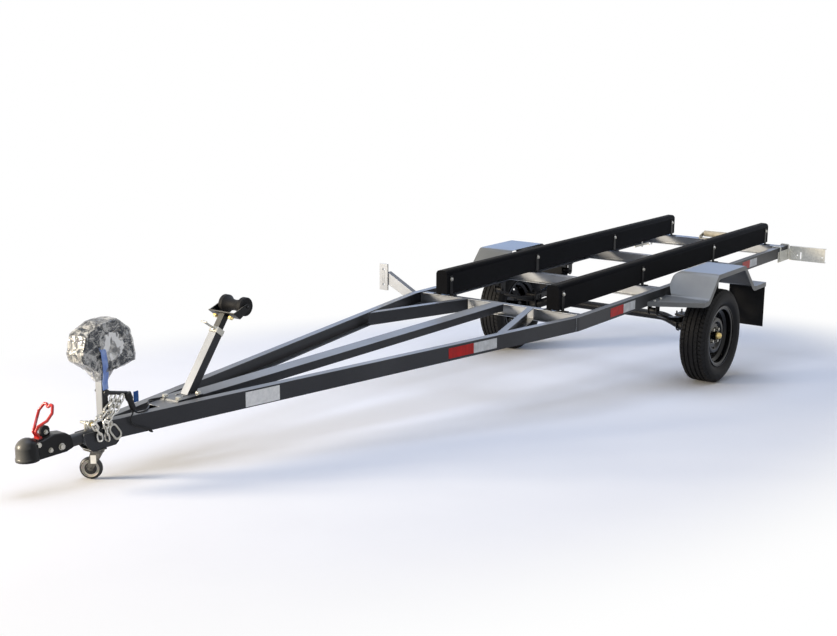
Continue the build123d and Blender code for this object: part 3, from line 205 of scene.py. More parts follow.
def seen_directly(tree):
    """1 on camera, glossy and transmission rays, and 0 on the rays that light the scene."""
    path = add(tree, "ShaderNodeLightPath")
    eye = add(tree, "ShaderNodeMath", {"operation": "MAXIMUM"},
              links={0: (path, "Is Camera Ray"), 1: (path, "Is Glossy Ray")})
    return add(tree, "ShaderNodeMath", {"operation": "MAXIMUM"},
               links={0: (eye, 0), 1: (path, "Is Transmission Ray")})


# %% Floor finish: matt painted board with a faint cloud
floor_material, tree, shader, place = finish("pale_floor", Roughness=0.9)
grain = add(tree, "ShaderNodeTexNoise", values={"Scale": 3.0, "Detail": 4.0}, links={"Vector": place})
tint = add(tree, "ShaderNodeValToRGB", links={"Fac": (grain, "Fac")}, stops=((0, "f6f6f6"), (1, "fbfbfb")))
tree.links.new(tint.outputs["Color"], shader.inputs["Base Color"])
oval = add(tree, "ShaderNodeVectorMath", {"operation": "MULTIPLY"}, {1: FADE_OVAL}, {0: place})
distance = add(tree, "ShaderNodeVectorMath", {"operation": "LENGTH"}, links={0: (oval, "Vector")})
fade = add(tree, "ShaderNodeMapRange", {"interpolation_type": "SMOOTHSTEP"},
           {"From Min": FADE_START, "From Max": FADE_END}, {"Value": (distance, "Value")})
faded = add(tree, "ShaderNodeMath", {"operation": "MULTIPLY"},
            links={0: (fade, "Result"), 1: (seen_directly(tree), 0)})
white = add(tree, "ShaderNodeEmission", values={"Color": (1, 1, 1, 1), "Strength": 1.0})
blend = add(tree, "ShaderNodeMixShader",
            links={0: (faded, 0), 1: (shader, "BSDF"), 2: (white, "Emission")})
tree.links.new(blend.outputs["Shader"], tree.nodes["Material Output"].inputs["Surface"])

# %% Floor
def keep_mesh(bm, name):
    """Store a bmesh as a mesh, and free it."""
    mesh = bpy.data.meshes.new(name)
    bm.to_mesh(mesh)
    bm.free()
    return mesh


bm = bmesh.new()
bmesh.ops.create_grid(bm, x_segments=1, y_segments=1, size=FLOOR_SIZE)
floor_mesh = keep_mesh(bm, "floor")
floor_mesh.materials.append(floor_material)
show(bpy.data.objects.new("floor", floor_mesh))
print("floor fades from", FADE_START, "to", FADE_END, "m")

# %% World
world = bpy.data.worlds.new("studio")
bpy.context.scene.world = world
world.use_nodes = True
tree = world.node_tree
tree.nodes.clear()
strength = add(tree, "ShaderNodeMapRange", links={"Value": (seen_directly(tree), 0)},
               values={"To Min": WORLD_LIGHT, "To Max": 1.0})
backdrop = add(tree, "ShaderNodeBackground", values={"Color": (1, 1, 1, 1)},
               links={"Strength": (strength, "Result")})
add(tree, "ShaderNodeOutputWorld", links={"Surface": (backdrop, "Background")})
print("world light", WORLD_LIGHT)

# %% [markdown]
# ## Sprayed paint
# The channels are sprayed with a two-part polyurethane in a dark metallic grey. Sprayed paint on
# rolled steel has a faint orange peel a few millimetres across and fine metal flakes, so its
# highlight is broad. The faces that look forward and up carry painted sunlight: the paint is mixed
# towards a pale colour by the object's own normal, in patches. The other enamels on the trailer,
# from wheels to lever, are the same kind of coat with other colours, gloss and painted sunlight.

# %% Paints
# real flakes are far finer, and are drawn this coarse so that they show
FLAKE = 1.6 * MM
PEEL = 5.0 * MM
# the way the painted sunlight comes from: forward and up
SUNLIT_WAY = (0.86, 0.0, 0.5)


def sprayed_paint(name, dark, light, metallic, roughness, peel_height, painted_sunlight=0.0, sunlight_colour="b4b5b2",
                  specular=0.5):
    """Paint with flakes, a faint orange peel, and painted sunlight on the faces that look towards it."""
    material, tree, shader, place = finish(name, Metallic=metallic, Roughness=roughness,
                                           Specular_IOR_Level=specular)
    flakes = add(tree, "ShaderNodeTexVoronoi", values={"Scale": 1 / FLAKE}, links={"Vector": place})
    drift = add(tree, "ShaderNodeTexNoise", values={"Scale": 2.5, "Detail": 6.0}, links={"Vector": place})
    mix = add(tree, "ShaderNodeMix", {"data_type": "FLOAT"}, {"Factor": 0.35},
              {"A": (drift, "Fac"), "B": (flakes, "Distance")})
    coat = add(tree, "ShaderNodeValToRGB", links={"Fac": (mix, "Result")}, stops=((0.3, dark), (0.7, light)))
    # painted sunlight: faces turned forward and up are mixed towards a pale colour, in patches
    towards = add(tree, "ShaderNodeVectorMath", {"operation": "DOT_PRODUCT"}, {1: SUNLIT_WAY},
                  {0: (place[0], "Normal")})
    facing_sunlight = add(tree, "ShaderNodeMapRange", values={"From Min": 0.4, "From Max": 0.95, "To Max": painted_sunlight},
                      links={"Value": (towards, "Value")})
    patchy = add(tree, "ShaderNodeMapRange", values={"From Min": 0.3, "From Max": 0.7, "To Min": 0.55},
                 links={"Value": (drift, "Fac")})
    sunlight_mask = add(tree, "ShaderNodeMath", {"operation": "MULTIPLY"},
                 links={0: (facing_sunlight, 0), 1: (patchy, 0)})
    sunlit_coat = add(tree, "ShaderNodeMix", {"data_type": "RGBA"}, {7: srgb(sunlight_colour)},
                 {0: (sunlight_mask, 0), 6: (coat, "Color")})
    peel = add(tree, "ShaderNodeTexNoise", values={"Scale": 1 / PEEL, "Detail": 2.0}, links={"Vector": place})
    bump = add(tree, "ShaderNodeBump", values={"Strength": 0.25, "Distance": peel_height},
               links={"Height": (peel, "Fac")})
    join_up(tree, shader, (sunlit_coat, 2), bump)
    return material


# the chassis paint gets the strongest painted sunlight on its forward and upward faces
graphite_paint = sprayed_paint("graphite_chassis_paint", "26272a", "37383b", 0.45, 0.42, 0.3 * MM,
                               painted_sunlight=0.9, sunlight_colour="c9cdd2", specular=0.4)
black_enamel = sprayed_paint("black_wheel_enamel", "050506", "0b0b0d", 0.0, 0.12, 0.08 * MM, specular=0.22)
spring_enamel = sprayed_paint("black_spring_enamel", "0c0c0e", "161618", 0.1, 0.45, 0.4 * MM, specular=0.25)
fender_paint = sprayed_paint("grey_fender_paint", "3f4143", "515355", 0.4, 0.36, 0.3 * MM,
                             painted_sunlight=0.35, sunlight_colour="a9aaa4")
coupler_enamel = sprayed_paint("black_coupler_enamel", "08090a", "121315", 0.1, 0.32, 0.5 * MM,
                               painted_sunlight=0.4, sunlight_colour="a3a29c", specular=0.22)
winch_enamel = sprayed_paint("blue_grey_winch_enamel", "232c3a", "34404f", 0.3, 0.35, 0.3 * MM)
lever_enamel = sprayed_paint("red_lever_enamel", "a01510", "c6241c", 0.0, 0.25, 0.2 * MM)
print("flakes", FLAKE / MM, "mm, orange peel", PEEL / MM, "mm")

# %% [markdown]
# ## Zinc and bare metals
# Brackets, bolts and the caster are zinc plated: a bright grey metal whose small crystals give a
# faint mottle. The light plates' galvanising has gone dull and hardly mirrors, and its near-white
# cream is partly the zinc's own colour and partly painted sunlight. The grease caps have the
# plating with a yellow passivation.

# %% Zinc plating
SPANGLE = 6.0 * MM


def plated(name, dark, light, roughness, metallic=1.0):
    """Zinc plating, its crystals a few millimetres across."""
    material, tree, shader, place = finish(name, Metallic=metallic, Roughness=roughness)
    crystals = add(tree, "ShaderNodeTexVoronoi", {"feature": "F1"}, {"Scale": 1 / SPANGLE}, {"Vector": place})
    haze = add(tree, "ShaderNodeTexNoise", values={"Scale": 60.0, "Detail": 5.0}, links={"Vector": place})
    mix = add(tree, "ShaderNodeMix", {"data_type": "FLOAT"}, {"Factor": 0.2},
              {"A": (haze, "Fac"), "B": (crystals, "Distance")})
    tint = add(tree, "ShaderNodeValToRGB", links={"Fac": (mix, "Result")},
               stops=((0.25, dark), (0.65, light)))
    rough = add(tree, "ShaderNodeMapRange", values={"To Min": roughness - 0.08, "To Max": roughness + 0.1},
                links={"Value": (haze, "Fac")})
    tree.links.new(rough.outputs["Result"], shader.inputs["Roughness"])
    bump = add(tree, "ShaderNodeBump", values={"Strength": 0.15, "Distance": 0.1 * MM},
               links={"Height": (haze, "Fac")})
    join_up(tree, shader, (tint, "Color"), bump)
    return material


zinc = plated("bright_zinc_plating", "a19f97", "bdbbb2", 0.4)
# near-white cream: partly the zinc's own colour and partly painted sunlight
sunlit_zinc = plated("dull_galvanising_with_painted_sunlight", "cbc7b8", "e9e5d6", 0.5, metallic=0.2)
yellow_zinc = plated("yellow_zinc_plating", "b39a5a", "d9c48a", 0.3)
weathered_zinc = plated("weathered_zinc", "3a3936", "75736d", 0.42)
print("crystals", SPANGLE / MM, "mm")

# %% [markdown]
# ## Rubber and plastic
# Tyres, flaps and rollers are black rubber, moulded, with a soft, broad highlight and a fine grain.
# The keel roller is cast in a pale plastic. Both are one kind of surface, so one function makes them.

# %% Rubber and plastic
def moulded(name, dark, light, roughness, grain_size, grain_height):
    """Moulded rubber or plastic with a fine grain."""
    material, tree, shader, place = finish(name, Roughness=roughness, Specular_IOR_Level=0.25)
    cloud = add(tree, "ShaderNodeTexNoise", values={"Scale": 14.0, "Detail": 8.0, "Roughness": 0.7},
                links={"Vector": place})
    tint = add(tree, "ShaderNodeValToRGB", links={"Fac": (cloud, "Fac")}, stops=((0.35, dark), (0.7, light)))
    grain = add(tree, "ShaderNodeTexNoise", values={"Scale": 1 / grain_size, "Detail": 3.0},
                links={"Vector": place})
    bump = add(tree, "ShaderNodeBump", values={"Strength": 0.4, "Distance": grain_height},
               links={"Height": (grain, "Fac")})
    join_up(tree, shader, (tint, "Color"), bump)
    return material


tyre_rubber = moulded("tyre_rubber", "08080a", "161617", 0.7, 2.0 * MM, 0.2 * MM)
flap_rubber = moulded("flap_rubber", "050506", "0d0d0f", 0.7, 3.0 * MM, 0.3 * MM)
roller_rubber = moulded("roller_rubber", "060607", "0e0e10", 0.3, 1.5 * MM, 0.1 * MM)
pale_plastic = moulded("pale_roller_plastic", "a89f8a", "c6bda6", 0.5, 2.0 * MM, 0.1 * MM)
print("moulded:", tyre_rubber.name, flap_rubber.name, roller_rubber.name, pale_plastic.name)

# %% [markdown]
# ## Marine carpet
# The bunks are wrapped in needle-punched polypropylene carpet, so the hull slides without scratches.
# Its short fibres scatter nearly all light, which leaves it almost black, with a rough nap.

# %% Carpet
# single fibres are too fine to show, so the nap is drawn as tufts this wide
TUFT = 1.8 * MM
carpet, tree, shader, place = finish("black_marine_carpet", Roughness=0.95, Sheen_Weight=0.05,
                                     Sheen_Roughness=0.6, Specular_IOR_Level=0.05)
fibres = add(tree, "ShaderNodeTexNoise", values={"Scale": 1 / TUFT, "Detail": 6.0, "Roughness": 0.75},
             links={"Vector": place})
patches = add(tree, "ShaderNodeTexNoise", values={"Scale": 9.0, "Detail": 3.0}, links={"Vector": place})
mix = add(tree, "ShaderNodeMix", {"data_type": "FLOAT"}, {"Factor": 0.6},
          {"A": (patches, "Fac"), "B": (fibres, "Fac")})
tint = add(tree, "ShaderNodeValToRGB", links={"Fac": (mix, "Result")},
           stops=((0.35, "030304"), (0.7, "0b0c0f")))
bump = add(tree, "ShaderNodeBump", values={"Strength": 0.8, "Distance": 1.2 * MM},
           links={"Height": (fibres, "Fac")})
join_up(tree, shader, (tint, "Color"), bump)
print("carpet tufts", TUFT / MM, "mm")

# %% [markdown]
# ## A pale ring on the caster's wheel
# The caster's wheel has a black tread on a paler hub, moulded as one part, so its ring is a change of
# colour and not of shape. The distance from the axle, found with a cross product, picks the colour.

# %% Caster ring
RING_IN = 24.0 * MM
RING_OUT = 34.0 * MM
RING_SPAN = 50.0 * MM
caster_axle = joints["caster_spin"]
ringed_rubber, tree, shader, place = finish("caster_rubber_and_hub", Roughness=0.4)
arm = add(tree, "ShaderNodeVectorMath", {"operation": "SUBTRACT"}, {1: caster_axle["pos_m"]}, {0: place})
across = add(tree, "ShaderNodeVectorMath", {"operation": "CROSS_PRODUCT"}, {1: caster_axle["axis"]},
             {0: (arm, 0)})
radius = add(tree, "ShaderNodeVectorMath", {"operation": "LENGTH"}, links={0: (across, 0)})
share = add(tree, "ShaderNodeMapRange", values={"From Max": RING_SPAN}, links={"Value": (radius, "Value")})
ring = add(tree, "ShaderNodeValToRGB", links={"Fac": (share, "Result")},
           stops=((0, "17171a"), (RING_OUT / RING_SPAN, "0b0b0d"), (RING_IN / RING_SPAN, "b9b5ab")))
ring.color_ramp.interpolation = "CONSTANT"
scuff = add(tree, "ShaderNodeTexNoise", values={"Scale": 90.0, "Detail": 4.0}, links={"Vector": place})
tint = add(tree, "ShaderNodeMix", {"data_type": "RGBA", "blend_type": "MULTIPLY"}, {"Factor": 0.35},
           {6: (ring, "Color"), 7: (scuff, "Color")})
bump = add(tree, "ShaderNodeBump", values={"Strength": 0.3, "Distance": 0.3 * MM},
           links={"Height": (scuff, "Fac")})
join_up(tree, shader, (tint, 2), bump)
print("ring from", RING_IN / MM, "to", RING_OUT / MM, "mm")

# %% [markdown]
# ## Dressing the CAD nodes
# The record names a material slot for each node, so one table gives every slot its finish. A few
# plated nodes look older or duller than the rest, and a second table names those.

# %% Hand each CAD node its finish
FINISHES = {
    "frame_paint": graphite_paint,
    "bunk_carpet": carpet,
    "spring_paint": spring_enamel,
    "plated_steel": zinc,
    "wheel_paint": black_enamel,
    "yellow_zinc": yellow_zinc,
    "tyre": tyre_rubber,
    "fender_paint": fender_paint,
    "black_rubber": flap_rubber,
    "caster_tread": roller_rubber,
    "pale_roller": pale_plastic,
    "coupler_paint": coupler_enamel,
    "lever_paint": lever_enamel,
    "winch_paint": winch_enamel,
}
OWN_FINISH = {
    "light_bracket_left": sunlit_zinc,
    "light_bracket_right": sunlit_zinc,
    "caster_fork": weathered_zinc,
    "caster_plate": weathered_zinc,
    "caster_wheel": ringed_rubber,
}
for part in frame["record"]["subparts"]:
    mesh = nodes[part["node"]].data
    mesh.materials.clear()
    mesh.materials.append(OWN_FINISH.get(part["node"], FINISHES[part["material_slot"]]))
print(len(nodes), "nodes dressed")

# %% [markdown]
# ## Rounded edges
# Rolled channel, bent sheet and sawn tube have no knife edges: each corner is a small radius that
# catches a thin line of light. The CAD solids keep sharp corners, so a Weld modifier joins their
# loose triangles and a Bevel modifier rounds what turns by more than 30 degrees. The carpet over the
# bunks turns its corners more softly than steel does.

# %% Bevels on the CAD nodes: how the node's name starts, and the radius in mm
EDGE_ROUND = {
    "side_rail": 1.6, "centre_beam": 1.8, "diagonal_braces": 1.6, "cross_member": 1.6, "tail_bar": 1.2,
    "fender": 0.8, "tongue_box": 2.0, "winch_post": 2.0, "winch_frame": 1.2, "bow_stop": 2.0,
    "bunk_left": 4.0, "bunk_right": 4.0, "caster_plate": 1.0, "coupler_housing": 1.2,
    "spring_hangers": 1.0, "axle_beam": 1.0, "leaf_spring": 0.8, "spare_wheel_carrier": 1.2,
    "keel_roller_bracket": 1.0, "wheel_rim": 0.8,
}
WELD_GAP = 0.02 * MM
SHARP_TURN = math.radians(30)
rounded = 0
for name, cad_object in nodes.items():
    width = next((w for start, w in EDGE_ROUND.items() if name.startswith(start)), None)
    if width is None:
        continue
    weld = cad_object.modifiers.new("join_triangles", "WELD")
    weld.merge_threshold = WELD_GAP
    bevel = cad_object.modifiers.new("edge_round", "BEVEL")
    bevel.width = width * MM
    bevel.segments = 2
    bevel.limit_method = "ANGLE"
    bevel.angle_limit = SHARP_TURN
    bevel.harden_normals = True
    rounded += 1
print(rounded, "nodes rounded")

# %% [markdown]
# ## Making a piece
# Each small part is drawn in millimetres in the chassis's level directions. The helper joins doubles,
# turns the faces outwards, tips the shape into place with the chassis matrix and lets it ride on
# its body. Shading is smooth up to 35 degrees, so a hexagon keeps its corners and a tube looks round.
# A shape that is used many times is kept as a template, and stamped.

# %% Piece helpers
DOUBLES = 0.005
SMOOTH_TURN = math.radians(35)


def close_up(bm):
    """Join a bmesh's doubles and turn its faces outwards."""
    bmesh.ops.remove_doubles(bm, verts=bm.verts, dist=DOUBLES)
    bmesh.ops.recalc_face_normals(bm, faces=bm.faces)


def make_piece(bm, name, material, body="chassis", matrix=CHASSIS):
    """Close a bmesh drawn in chassis millimetres as a finished piece that rides on a body."""
    close_up(bm)
    bmesh.ops.transform(bm, matrix=matrix @ Matrix.Scale(MM, 4), verts=bm.verts)
    mesh = keep_mesh(bm, name)
    mesh.materials.append(material)
    mesh.shade_smooth()
    mesh.set_sharp_from_angle(angle=SMOOTH_TURN)
    piece = show(bpy.data.objects.new(name, mesh))
    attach(piece, body)
    return piece


def facing(place, direction, spin=0.0):
    """A matrix that stands something drawn along +Z on a place, pointing in a direction."""
    turn = Vector((0, 0, 1)).rotation_difference(Vector(direction)).to_matrix().to_4x4()
    return Matrix.Translation(place) @ turn @ Matrix.Rotation(math.radians(spin), 4, "Z")


def stamp(bm, template, matrix):
    """Add a copy of a template mesh to bm, placed by a matrix."""
    placed = template.copy()
    placed.transform(matrix)
    bm.from_mesh(placed)
    bpy.data.meshes.remove(placed)


def round_edges(bm, edges, offset, segments):
    """Bevel some of a bmesh's edges."""
    bmesh.ops.bevel(bm, geom=edges, offset=offset, segments=segments, affect="EDGES",
                    profile=0.5, material=-1)


def push_out(bm, faces, way):
    """Extrude faces along a vector."""
    pushed = bmesh.ops.extrude_face_region(bm, geom=faces)["geom"]
    bmesh.ops.translate(bm, vec=way, verts=[g for g in pushed if isinstance(g, bmesh.types.BMVert)])


# %% [markdown]
# ## Bolts
# The trailer is bolted together with zinc plated M12 hexagon bolts on flat washers. One bolt head is
# made once, from a six-sided cylinder with its top corners bevelled away, as they are turned on a
# real one, and is stamped wherever the frame has a fastener.

# %% One hexagon head on its washer, in mm
WASHER_RADIUS = 12.0
WASHER_THICK = 1.8
HEAD_RADIUS = 10.2
HEAD_HIGH = 7.2
bm = bmesh.new()
bmesh.ops.create_cone(bm, cap_ends=True, segments=28, radius1=WASHER_RADIUS, radius2=WASHER_RADIUS,
                      depth=WASHER_THICK, matrix=Matrix.Translation((0, 0, WASHER_THICK / 2)))
round_edges(bm, list(bm.edges), 0.35, 1)
bmesh.ops.create_cone(bm, cap_ends=True, segments=6, radius1=HEAD_RADIUS, radius2=HEAD_RADIUS,
                      depth=HEAD_HIGH, matrix=Matrix.Translation((0, 0, WASHER_THICK + HEAD_HIGH / 2)))
top = [edge for edge in bm.edges if all(v.co.z > WASHER_THICK + HEAD_HIGH - 1 for v in edge.verts)]
round_edges(bm, top, 1.2, 2)
close_up(bm)
HEX_HEAD = keep_mesh(bm, "hex_head")
print("bolt head", len(HEX_HEAD.polygons), "faces")

# %% Bolt places: place, direction, size
BUNK_BRACKET_X = (1280, 325, -717, -1640)
BOW_POST_FOOT = ((3730, 38), (3730, -38), (3620, 38), (3620, -38))
FENDER_FEET = ((440, 565), (520, 565), (-430, 545), (-520, 545))
BOLTS = []
for x in BUNK_BRACKET_X:
    for side in (1, -1):
        BOLTS.append(((x, side * 410, 704), (0, side, 0), 0.95))
        BOLTS.append(((x, side * 324, 704), (0, -side, 0), 0.95))
BOLTS += [((x, y, 616), (0, 0, 1), 1.15) for x, y in BOW_POST_FOOT]
for side in (1, -1):
    BOLTS.append(((4403, side * 31, 598), (0, side, 0), 0.85))
    BOLTS.append(((4353, side * 31, 566), (0, side, 0), 0.8))
    BOLTS.append(((4304, side * 31, 567), (0, side, 0), 1.1))
    BOLTS.append(((4353, side * 8, 631), (0, side, 0), 0.75))
    BOLTS += [((x, side * 585, z), (0, 0, 1), 0.75) for x, z in FENDER_FEET]
    BOLTS += [((-556, side * y, 530), (-1, 0, 0), 0.6) for y in (640, 720, 800)]
bm = bmesh.new()
for place, direction, size in BOLTS:
    stamp(bm, HEX_HEAD, facing(place, direction, 17 * len(bm.verts) % 60) @ Matrix.Scale(size, 4))
make_piece(bm, "frame_bolts", zinc)
print(len(BOLTS), "bolts")

# %% [markdown]
# ## Weld beads
# The tongue plates, the winch post and the rails' kinks are welded. A bead is a row of overlapping
# drops, a few millimetres across, laid in a line and painted over with the steel. Each is made here
# from squashed low-resolution balls, half sunk in the joint.

# %% Weld beads: from, to, with twins on both sides but for the last, which runs across
SIDE_BEADS = [
    ((4067, 20, 612.5), (4097, 20, 612.5)), ((4100, 31.5, 585), (4100, 31.5, 540)),
    ((4196, 26, 584), (4196, 26, 545)), ((1388, 553.5, 540), (1388, 553.5, 608)),
    ((1302, 553, 608), (1338, 553, 608)), ((3642, 20, 616.5), (3690, 20, 616.5)),
]
BEADS = [[Matrix.Diagonal((1, side, 1)) @ Vector(end) for end in bead]
         for bead in SIDE_BEADS for side in (1, -1)]
BEADS.append([Vector((4097, -20, 612.5)), Vector((4097, 20, 612.5))])
DROP_RADIUS = 3.0
DROP_STEP = 2.6
HAND_WOBBLE = 0.3
bm = bmesh.new()
bmesh.ops.create_icosphere(bm, subdivisions=1, radius=DROP_RADIUS)
bmesh.ops.scale(bm, vec=(1, 1, 0.7), verts=bm.verts)
close_up(bm)
DROP = keep_mesh(bm, "weld_drop")
bm = bmesh.new()
for start, end in BEADS:
    run = end - start
    count = max(2, round(run.length / DROP_STEP))
    for step in range(count + 1):
        wobble = Vector((math.sin(step * 2.1), math.sin(step * 1.7), math.sin(step * 2.9))) * HAND_WOBBLE
        stamp(bm, DROP, facing(start + run * step / count + wobble, run))
make_piece(bm, "weld_beads", graphite_paint)
print(len(BEADS), "beads")

# %% [markdown]
# ## Tyres with their tread
# A 175 mm road tyre has four straight grooves with ribs between them, and slanting cuts in the
# shoulders that lead water out. The outline of rubber is drawn once as a chain of edges, spun
# through one pitch of the tread, and some of its rows are pushed down to make the cuts. Spinning
# that pitch as duplicates closes the whole tyre, so the pattern meets itself exactly.

# %% Tyre outline: (along the axle, radius) from the tread's middle to the bead and back inside
TYRE_OUTLINE = [
    (0, 287.5), (5, 287.5), (10.6, 287.4), (11.4, 280.6), (18.6, 280.6), (19.4, 287.2), (24, 287.0),
    (33, 286.8), (37.6, 286.6), (38.4, 279.8), (45.6, 279.8), (46.4, 286.2), (50, 286.1), (55, 285.9),
    (60, 285.6), (66, 284.0), (69, 279.0), (73.4, 273.0), (79.5, 264.0), (80.6, 264.4), (81.6, 262.0),
    (85.2, 250.0), (86.4, 247.4), (87.4, 238.0), (87.5, 232.0), (86.0, 221.0), (83.0, 211.0),
    (81.6, 209.6), (77.0, 203.0), (71.0, 196.6), (66, 192), (63, 186.5), (61.3, 169.5), (59, 167.3),
    (44, 167.3), (56, 190.0), (75.5, 234.0), (50, 268.0), (0, 270.0),
]
PITCHES = 64
STEPS = 9
# the cuts in one pitch: from and to along the axle, least radius, depth, and which steps they take
TREAD_CUTS = [
    (22, 35, 286, 2.5, (5,)),
    (49, 56, 285, 6.0, (2, 3)),
    (56, 62, 285, 6.0, (3, 4)),
    (62, 74, 272, 3.6, (3, 4)),
]
print(len(TYRE_OUTLINE), "points in half an outline")


# %% Spin the tyres
def tread_tyre(side):
    """Spin one pitch of tread, push its cuts down, and repeat it round the wheel."""
    bm = bmesh.new()
    outline = TYRE_OUTLINE + [(-a, r) for a, r in reversed(TYRE_OUTLINE[1:-1])]
    chain = [bm.verts.new((0, a, r)) for a, r in outline]
    edges = [bm.edges.new((chain[i], chain[(i + 1) % len(chain)])) for i in range(len(chain))]
    pitch = math.tau / PITCHES
    bmesh.ops.spin(bm, geom=chain + edges, cent=(0, 0, 0), axis=(0, 1, 0), angle=pitch, steps=STEPS,
                   use_merge=False)
    for v in bm.verts:
        radius = math.hypot(v.co.x, v.co.z)
        step = abs(round(math.atan2(v.co.x, v.co.z) / pitch * STEPS)) % STEPS
        for near, far, least, depth, cut_steps in TREAD_CUTS:
            if near < abs(v.co.y) < far and radius > least and step in cut_steps:
                v.co.x *= 1 - depth / radius
                v.co.z *= 1 - depth / radius
    bmesh.ops.spin(bm, geom=list(bm.faces) + list(bm.edges) + list(bm.verts), cent=(0, 0, 0),
                   axis=(0, 1, 0), angle=math.tau - pitch, steps=PITCHES - 1, use_merge=False,
                   use_duplicate=True)
    low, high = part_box("tyre_" + side)
    wheel_place = Matrix.Translation((axle.x, (low[1] + high[1]) / 2, axle.z))
    piece = make_piece(bm, "treaded_tyre_" + side, tyre_rubber, "wheel_" + side, wheel_place)
    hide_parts("tyre_" + side)
    print(piece.name, len(piece.data.polygons), "faces")


tread_tyre("left")
tread_tyre("right")

# %% [markdown]
# ## Reflective tape and the plate on the rail
# Red and white reflective tape is stuck along both rails and bends nowhere, so each run is a thin
# flat strip on the web. The film has a grid of tiny prisms behind a glossy face. The plate near the
# tongue is bare aluminium, and it carries no marks.

# %% Tape and plate finishes
# real prisms are a fraction of a millimetre across, and are drawn coarser so that the grid shows
PRISM = 4.0 * MM


def reflective_tape(name, dark, light):
    """Glossy film over a grid of prisms."""
    material, tree, shader, place = finish(name, Roughness=0.4, Specular_IOR_Level=0.25)
    prisms = add(tree, "ShaderNodeTexVoronoi", {"distance": "CHEBYCHEV"},
                 {"Scale": 1 / PRISM, "Randomness": 0.0}, {"Vector": place})
    dirt = add(tree, "ShaderNodeTexNoise", values={"Scale": 30.0, "Detail": 4.0}, links={"Vector": place})
    mix = add(tree, "ShaderNodeMix", {"data_type": "FLOAT"}, {"Factor": 0.4},
              {"A": (dirt, "Fac"), "B": (prisms, "Distance")})
    tint = add(tree, "ShaderNodeValToRGB", links={"Fac": (mix, "Result")}, stops=((0.25, light), (0.6, dark)))
    bump = add(tree, "ShaderNodeBump", values={"Strength": 0.3, "Distance": 0.1 * MM},
               links={"Height": (prisms, "Distance")})
    join_up(tree, shader, (tint, "Color"), bump)
    return material


red_tape = reflective_tape("red_reflective_tape", "9a0c0a", "c9120e")
white_tape = reflective_tape("white_reflective_tape", "b9bab8", "e2e3e1")
brushed_plate = plated("brushed_aluminium_plate", "c3c4c3", "d8d8d6", 0.42, metallic=0.6)
print("prisms", PRISM / MM, "mm")

# %% [markdown]
# ## Strips on the webs
# Behind the kink the rails run straight, and ahead of it they close in on the tongue. A strip is a
# box stretched between two stations of the web, turned to lie along it, with its four corners
# rounded like a cut piece of tape.

# %% The rail's web, in mm
KINK_X = 1362
NOSE_X = 4098
WEB_WIDE = 558
WEB_NARROW = 31
TAPER = (WEB_WIDE - WEB_NARROW) / (NOSE_X - KINK_X)
GLUE = 0.05


def web_at(x, side):
    """A point on the outer face of a rail's web, level with the chassis origin."""
    return Vector((x, side * (WEB_WIDE - max(0, x - KINK_X) * TAPER), 0))


def web_strip(name, x_front, x_rear, low, high, material, thick):
    """A thin strip on both webs between two stations, with rounded corners."""
    bm = bmesh.new()
    for side in (1, -1):
        start = web_at(x_front, side)
        end = web_at(x_rear, side)
        along = (end - start).normalized()
        out = Vector((along.y, -along.x, 0))
        if out.y * side < 0:
            out = -out
        middle = (start + end) / 2 + Vector((0, 0, (low + high) / 2)) + out * (thick / 2 + GLUE)
        box = bmesh.ops.create_cube(bm, size=1)["verts"]
        size = Matrix.Diagonal(((end - start).length, thick, high - low, 1))
        turn = Matrix((along, out, (0, 0, 1))).transposed().to_4x4()
        bmesh.ops.transform(bm, matrix=Matrix.Translation(middle) @ turn @ size, verts=box)
        corners = [e for e in bm.edges if all(v in box for v in e.verts)
                   and abs((e.verts[0].co - e.verts[1].co).normalized().dot(out)) > 0.9]
        round_edges(bm, corners, 2.5, 3)
    make_piece(bm, name, material)
    print(name, "from", x_front, "to", x_rear)


# %% Tape runs: front of the red, where red meets white, rear of the white
TAPE_RUNS = {"front": (2308, 2141, 1982), "middle": (1012, 858, 716), "rear": (-859, -985, -1111)}
TAPE_LOW = 549
TAPE_HIGH = 600
TAPE_THICK = 0.7
PLATE_THICK = 1.2
for run_name, (front, join, rear) in TAPE_RUNS.items():
    web_strip("red_tape_" + run_name, front, join, TAPE_LOW, TAPE_HIGH, red_tape, TAPE_THICK)
    web_strip("white_tape_" + run_name, join, rear, TAPE_LOW, TAPE_HIGH, white_tape, TAPE_THICK)
web_strip("blank_plate", 3463, 3291, 541, 605, brushed_plate, PLATE_THICK)

# %% [markdown]
# ## Safety chains
# Short chains hang beside the winch post's foot. A link is a round wire bent to a long ring: a small
# circle is pushed along, spun through a half turn, pushed back and spun again. Links are stamped
# along the chain's line, every second one a quarter turn round.

# %% One link, in mm
WIRE = 8.0
LINK_LENGTH = 41.0
LINK_WIDTH = 27.0


def bent_wire(bm, radius, straight, segments=8, wire=WIRE):
    """A wire ring of two straights and two half turns, in the XY plane, long along Y."""
    upright = Matrix.Translation((radius, -straight / 2, 0)) @ Matrix.Rotation(math.pi / 2, 4, "X")
    start = bmesh.ops.create_circle(bm, segments=segments, radius=wire / 2, matrix=upright)
    ring = list({e for v in start["verts"] for e in v.link_edges})
    for centre, move in ((straight / 2, straight), (-straight / 2, -straight)):
        pushed = bmesh.ops.extrude_edge_only(bm, edges=ring)["geom"]
        verts = [g for g in pushed if isinstance(g, bmesh.types.BMVert)]
        bmesh.ops.translate(bm, vec=(0, move, 0), verts=verts)
        ring = [g for g in pushed if isinstance(g, bmesh.types.BMEdge) and all(v in verts for v in g.verts)]
        spun = bmesh.ops.spin(bm, geom=ring + verts, cent=(0, centre, 0), axis=(0, 0, 1), angle=math.pi,
                              steps=6, use_merge=False)["geom_last"]
        ring = [g for g in spun if isinstance(g, bmesh.types.BMEdge)]


bm = bmesh.new()
bent_wire(bm, (LINK_WIDTH - WIRE) / 2, LINK_LENGTH - LINK_WIDTH)
close_up(bm)
LINK = keep_mesh(bm, "chain_link")
print("link", len(LINK.polygons), "faces")

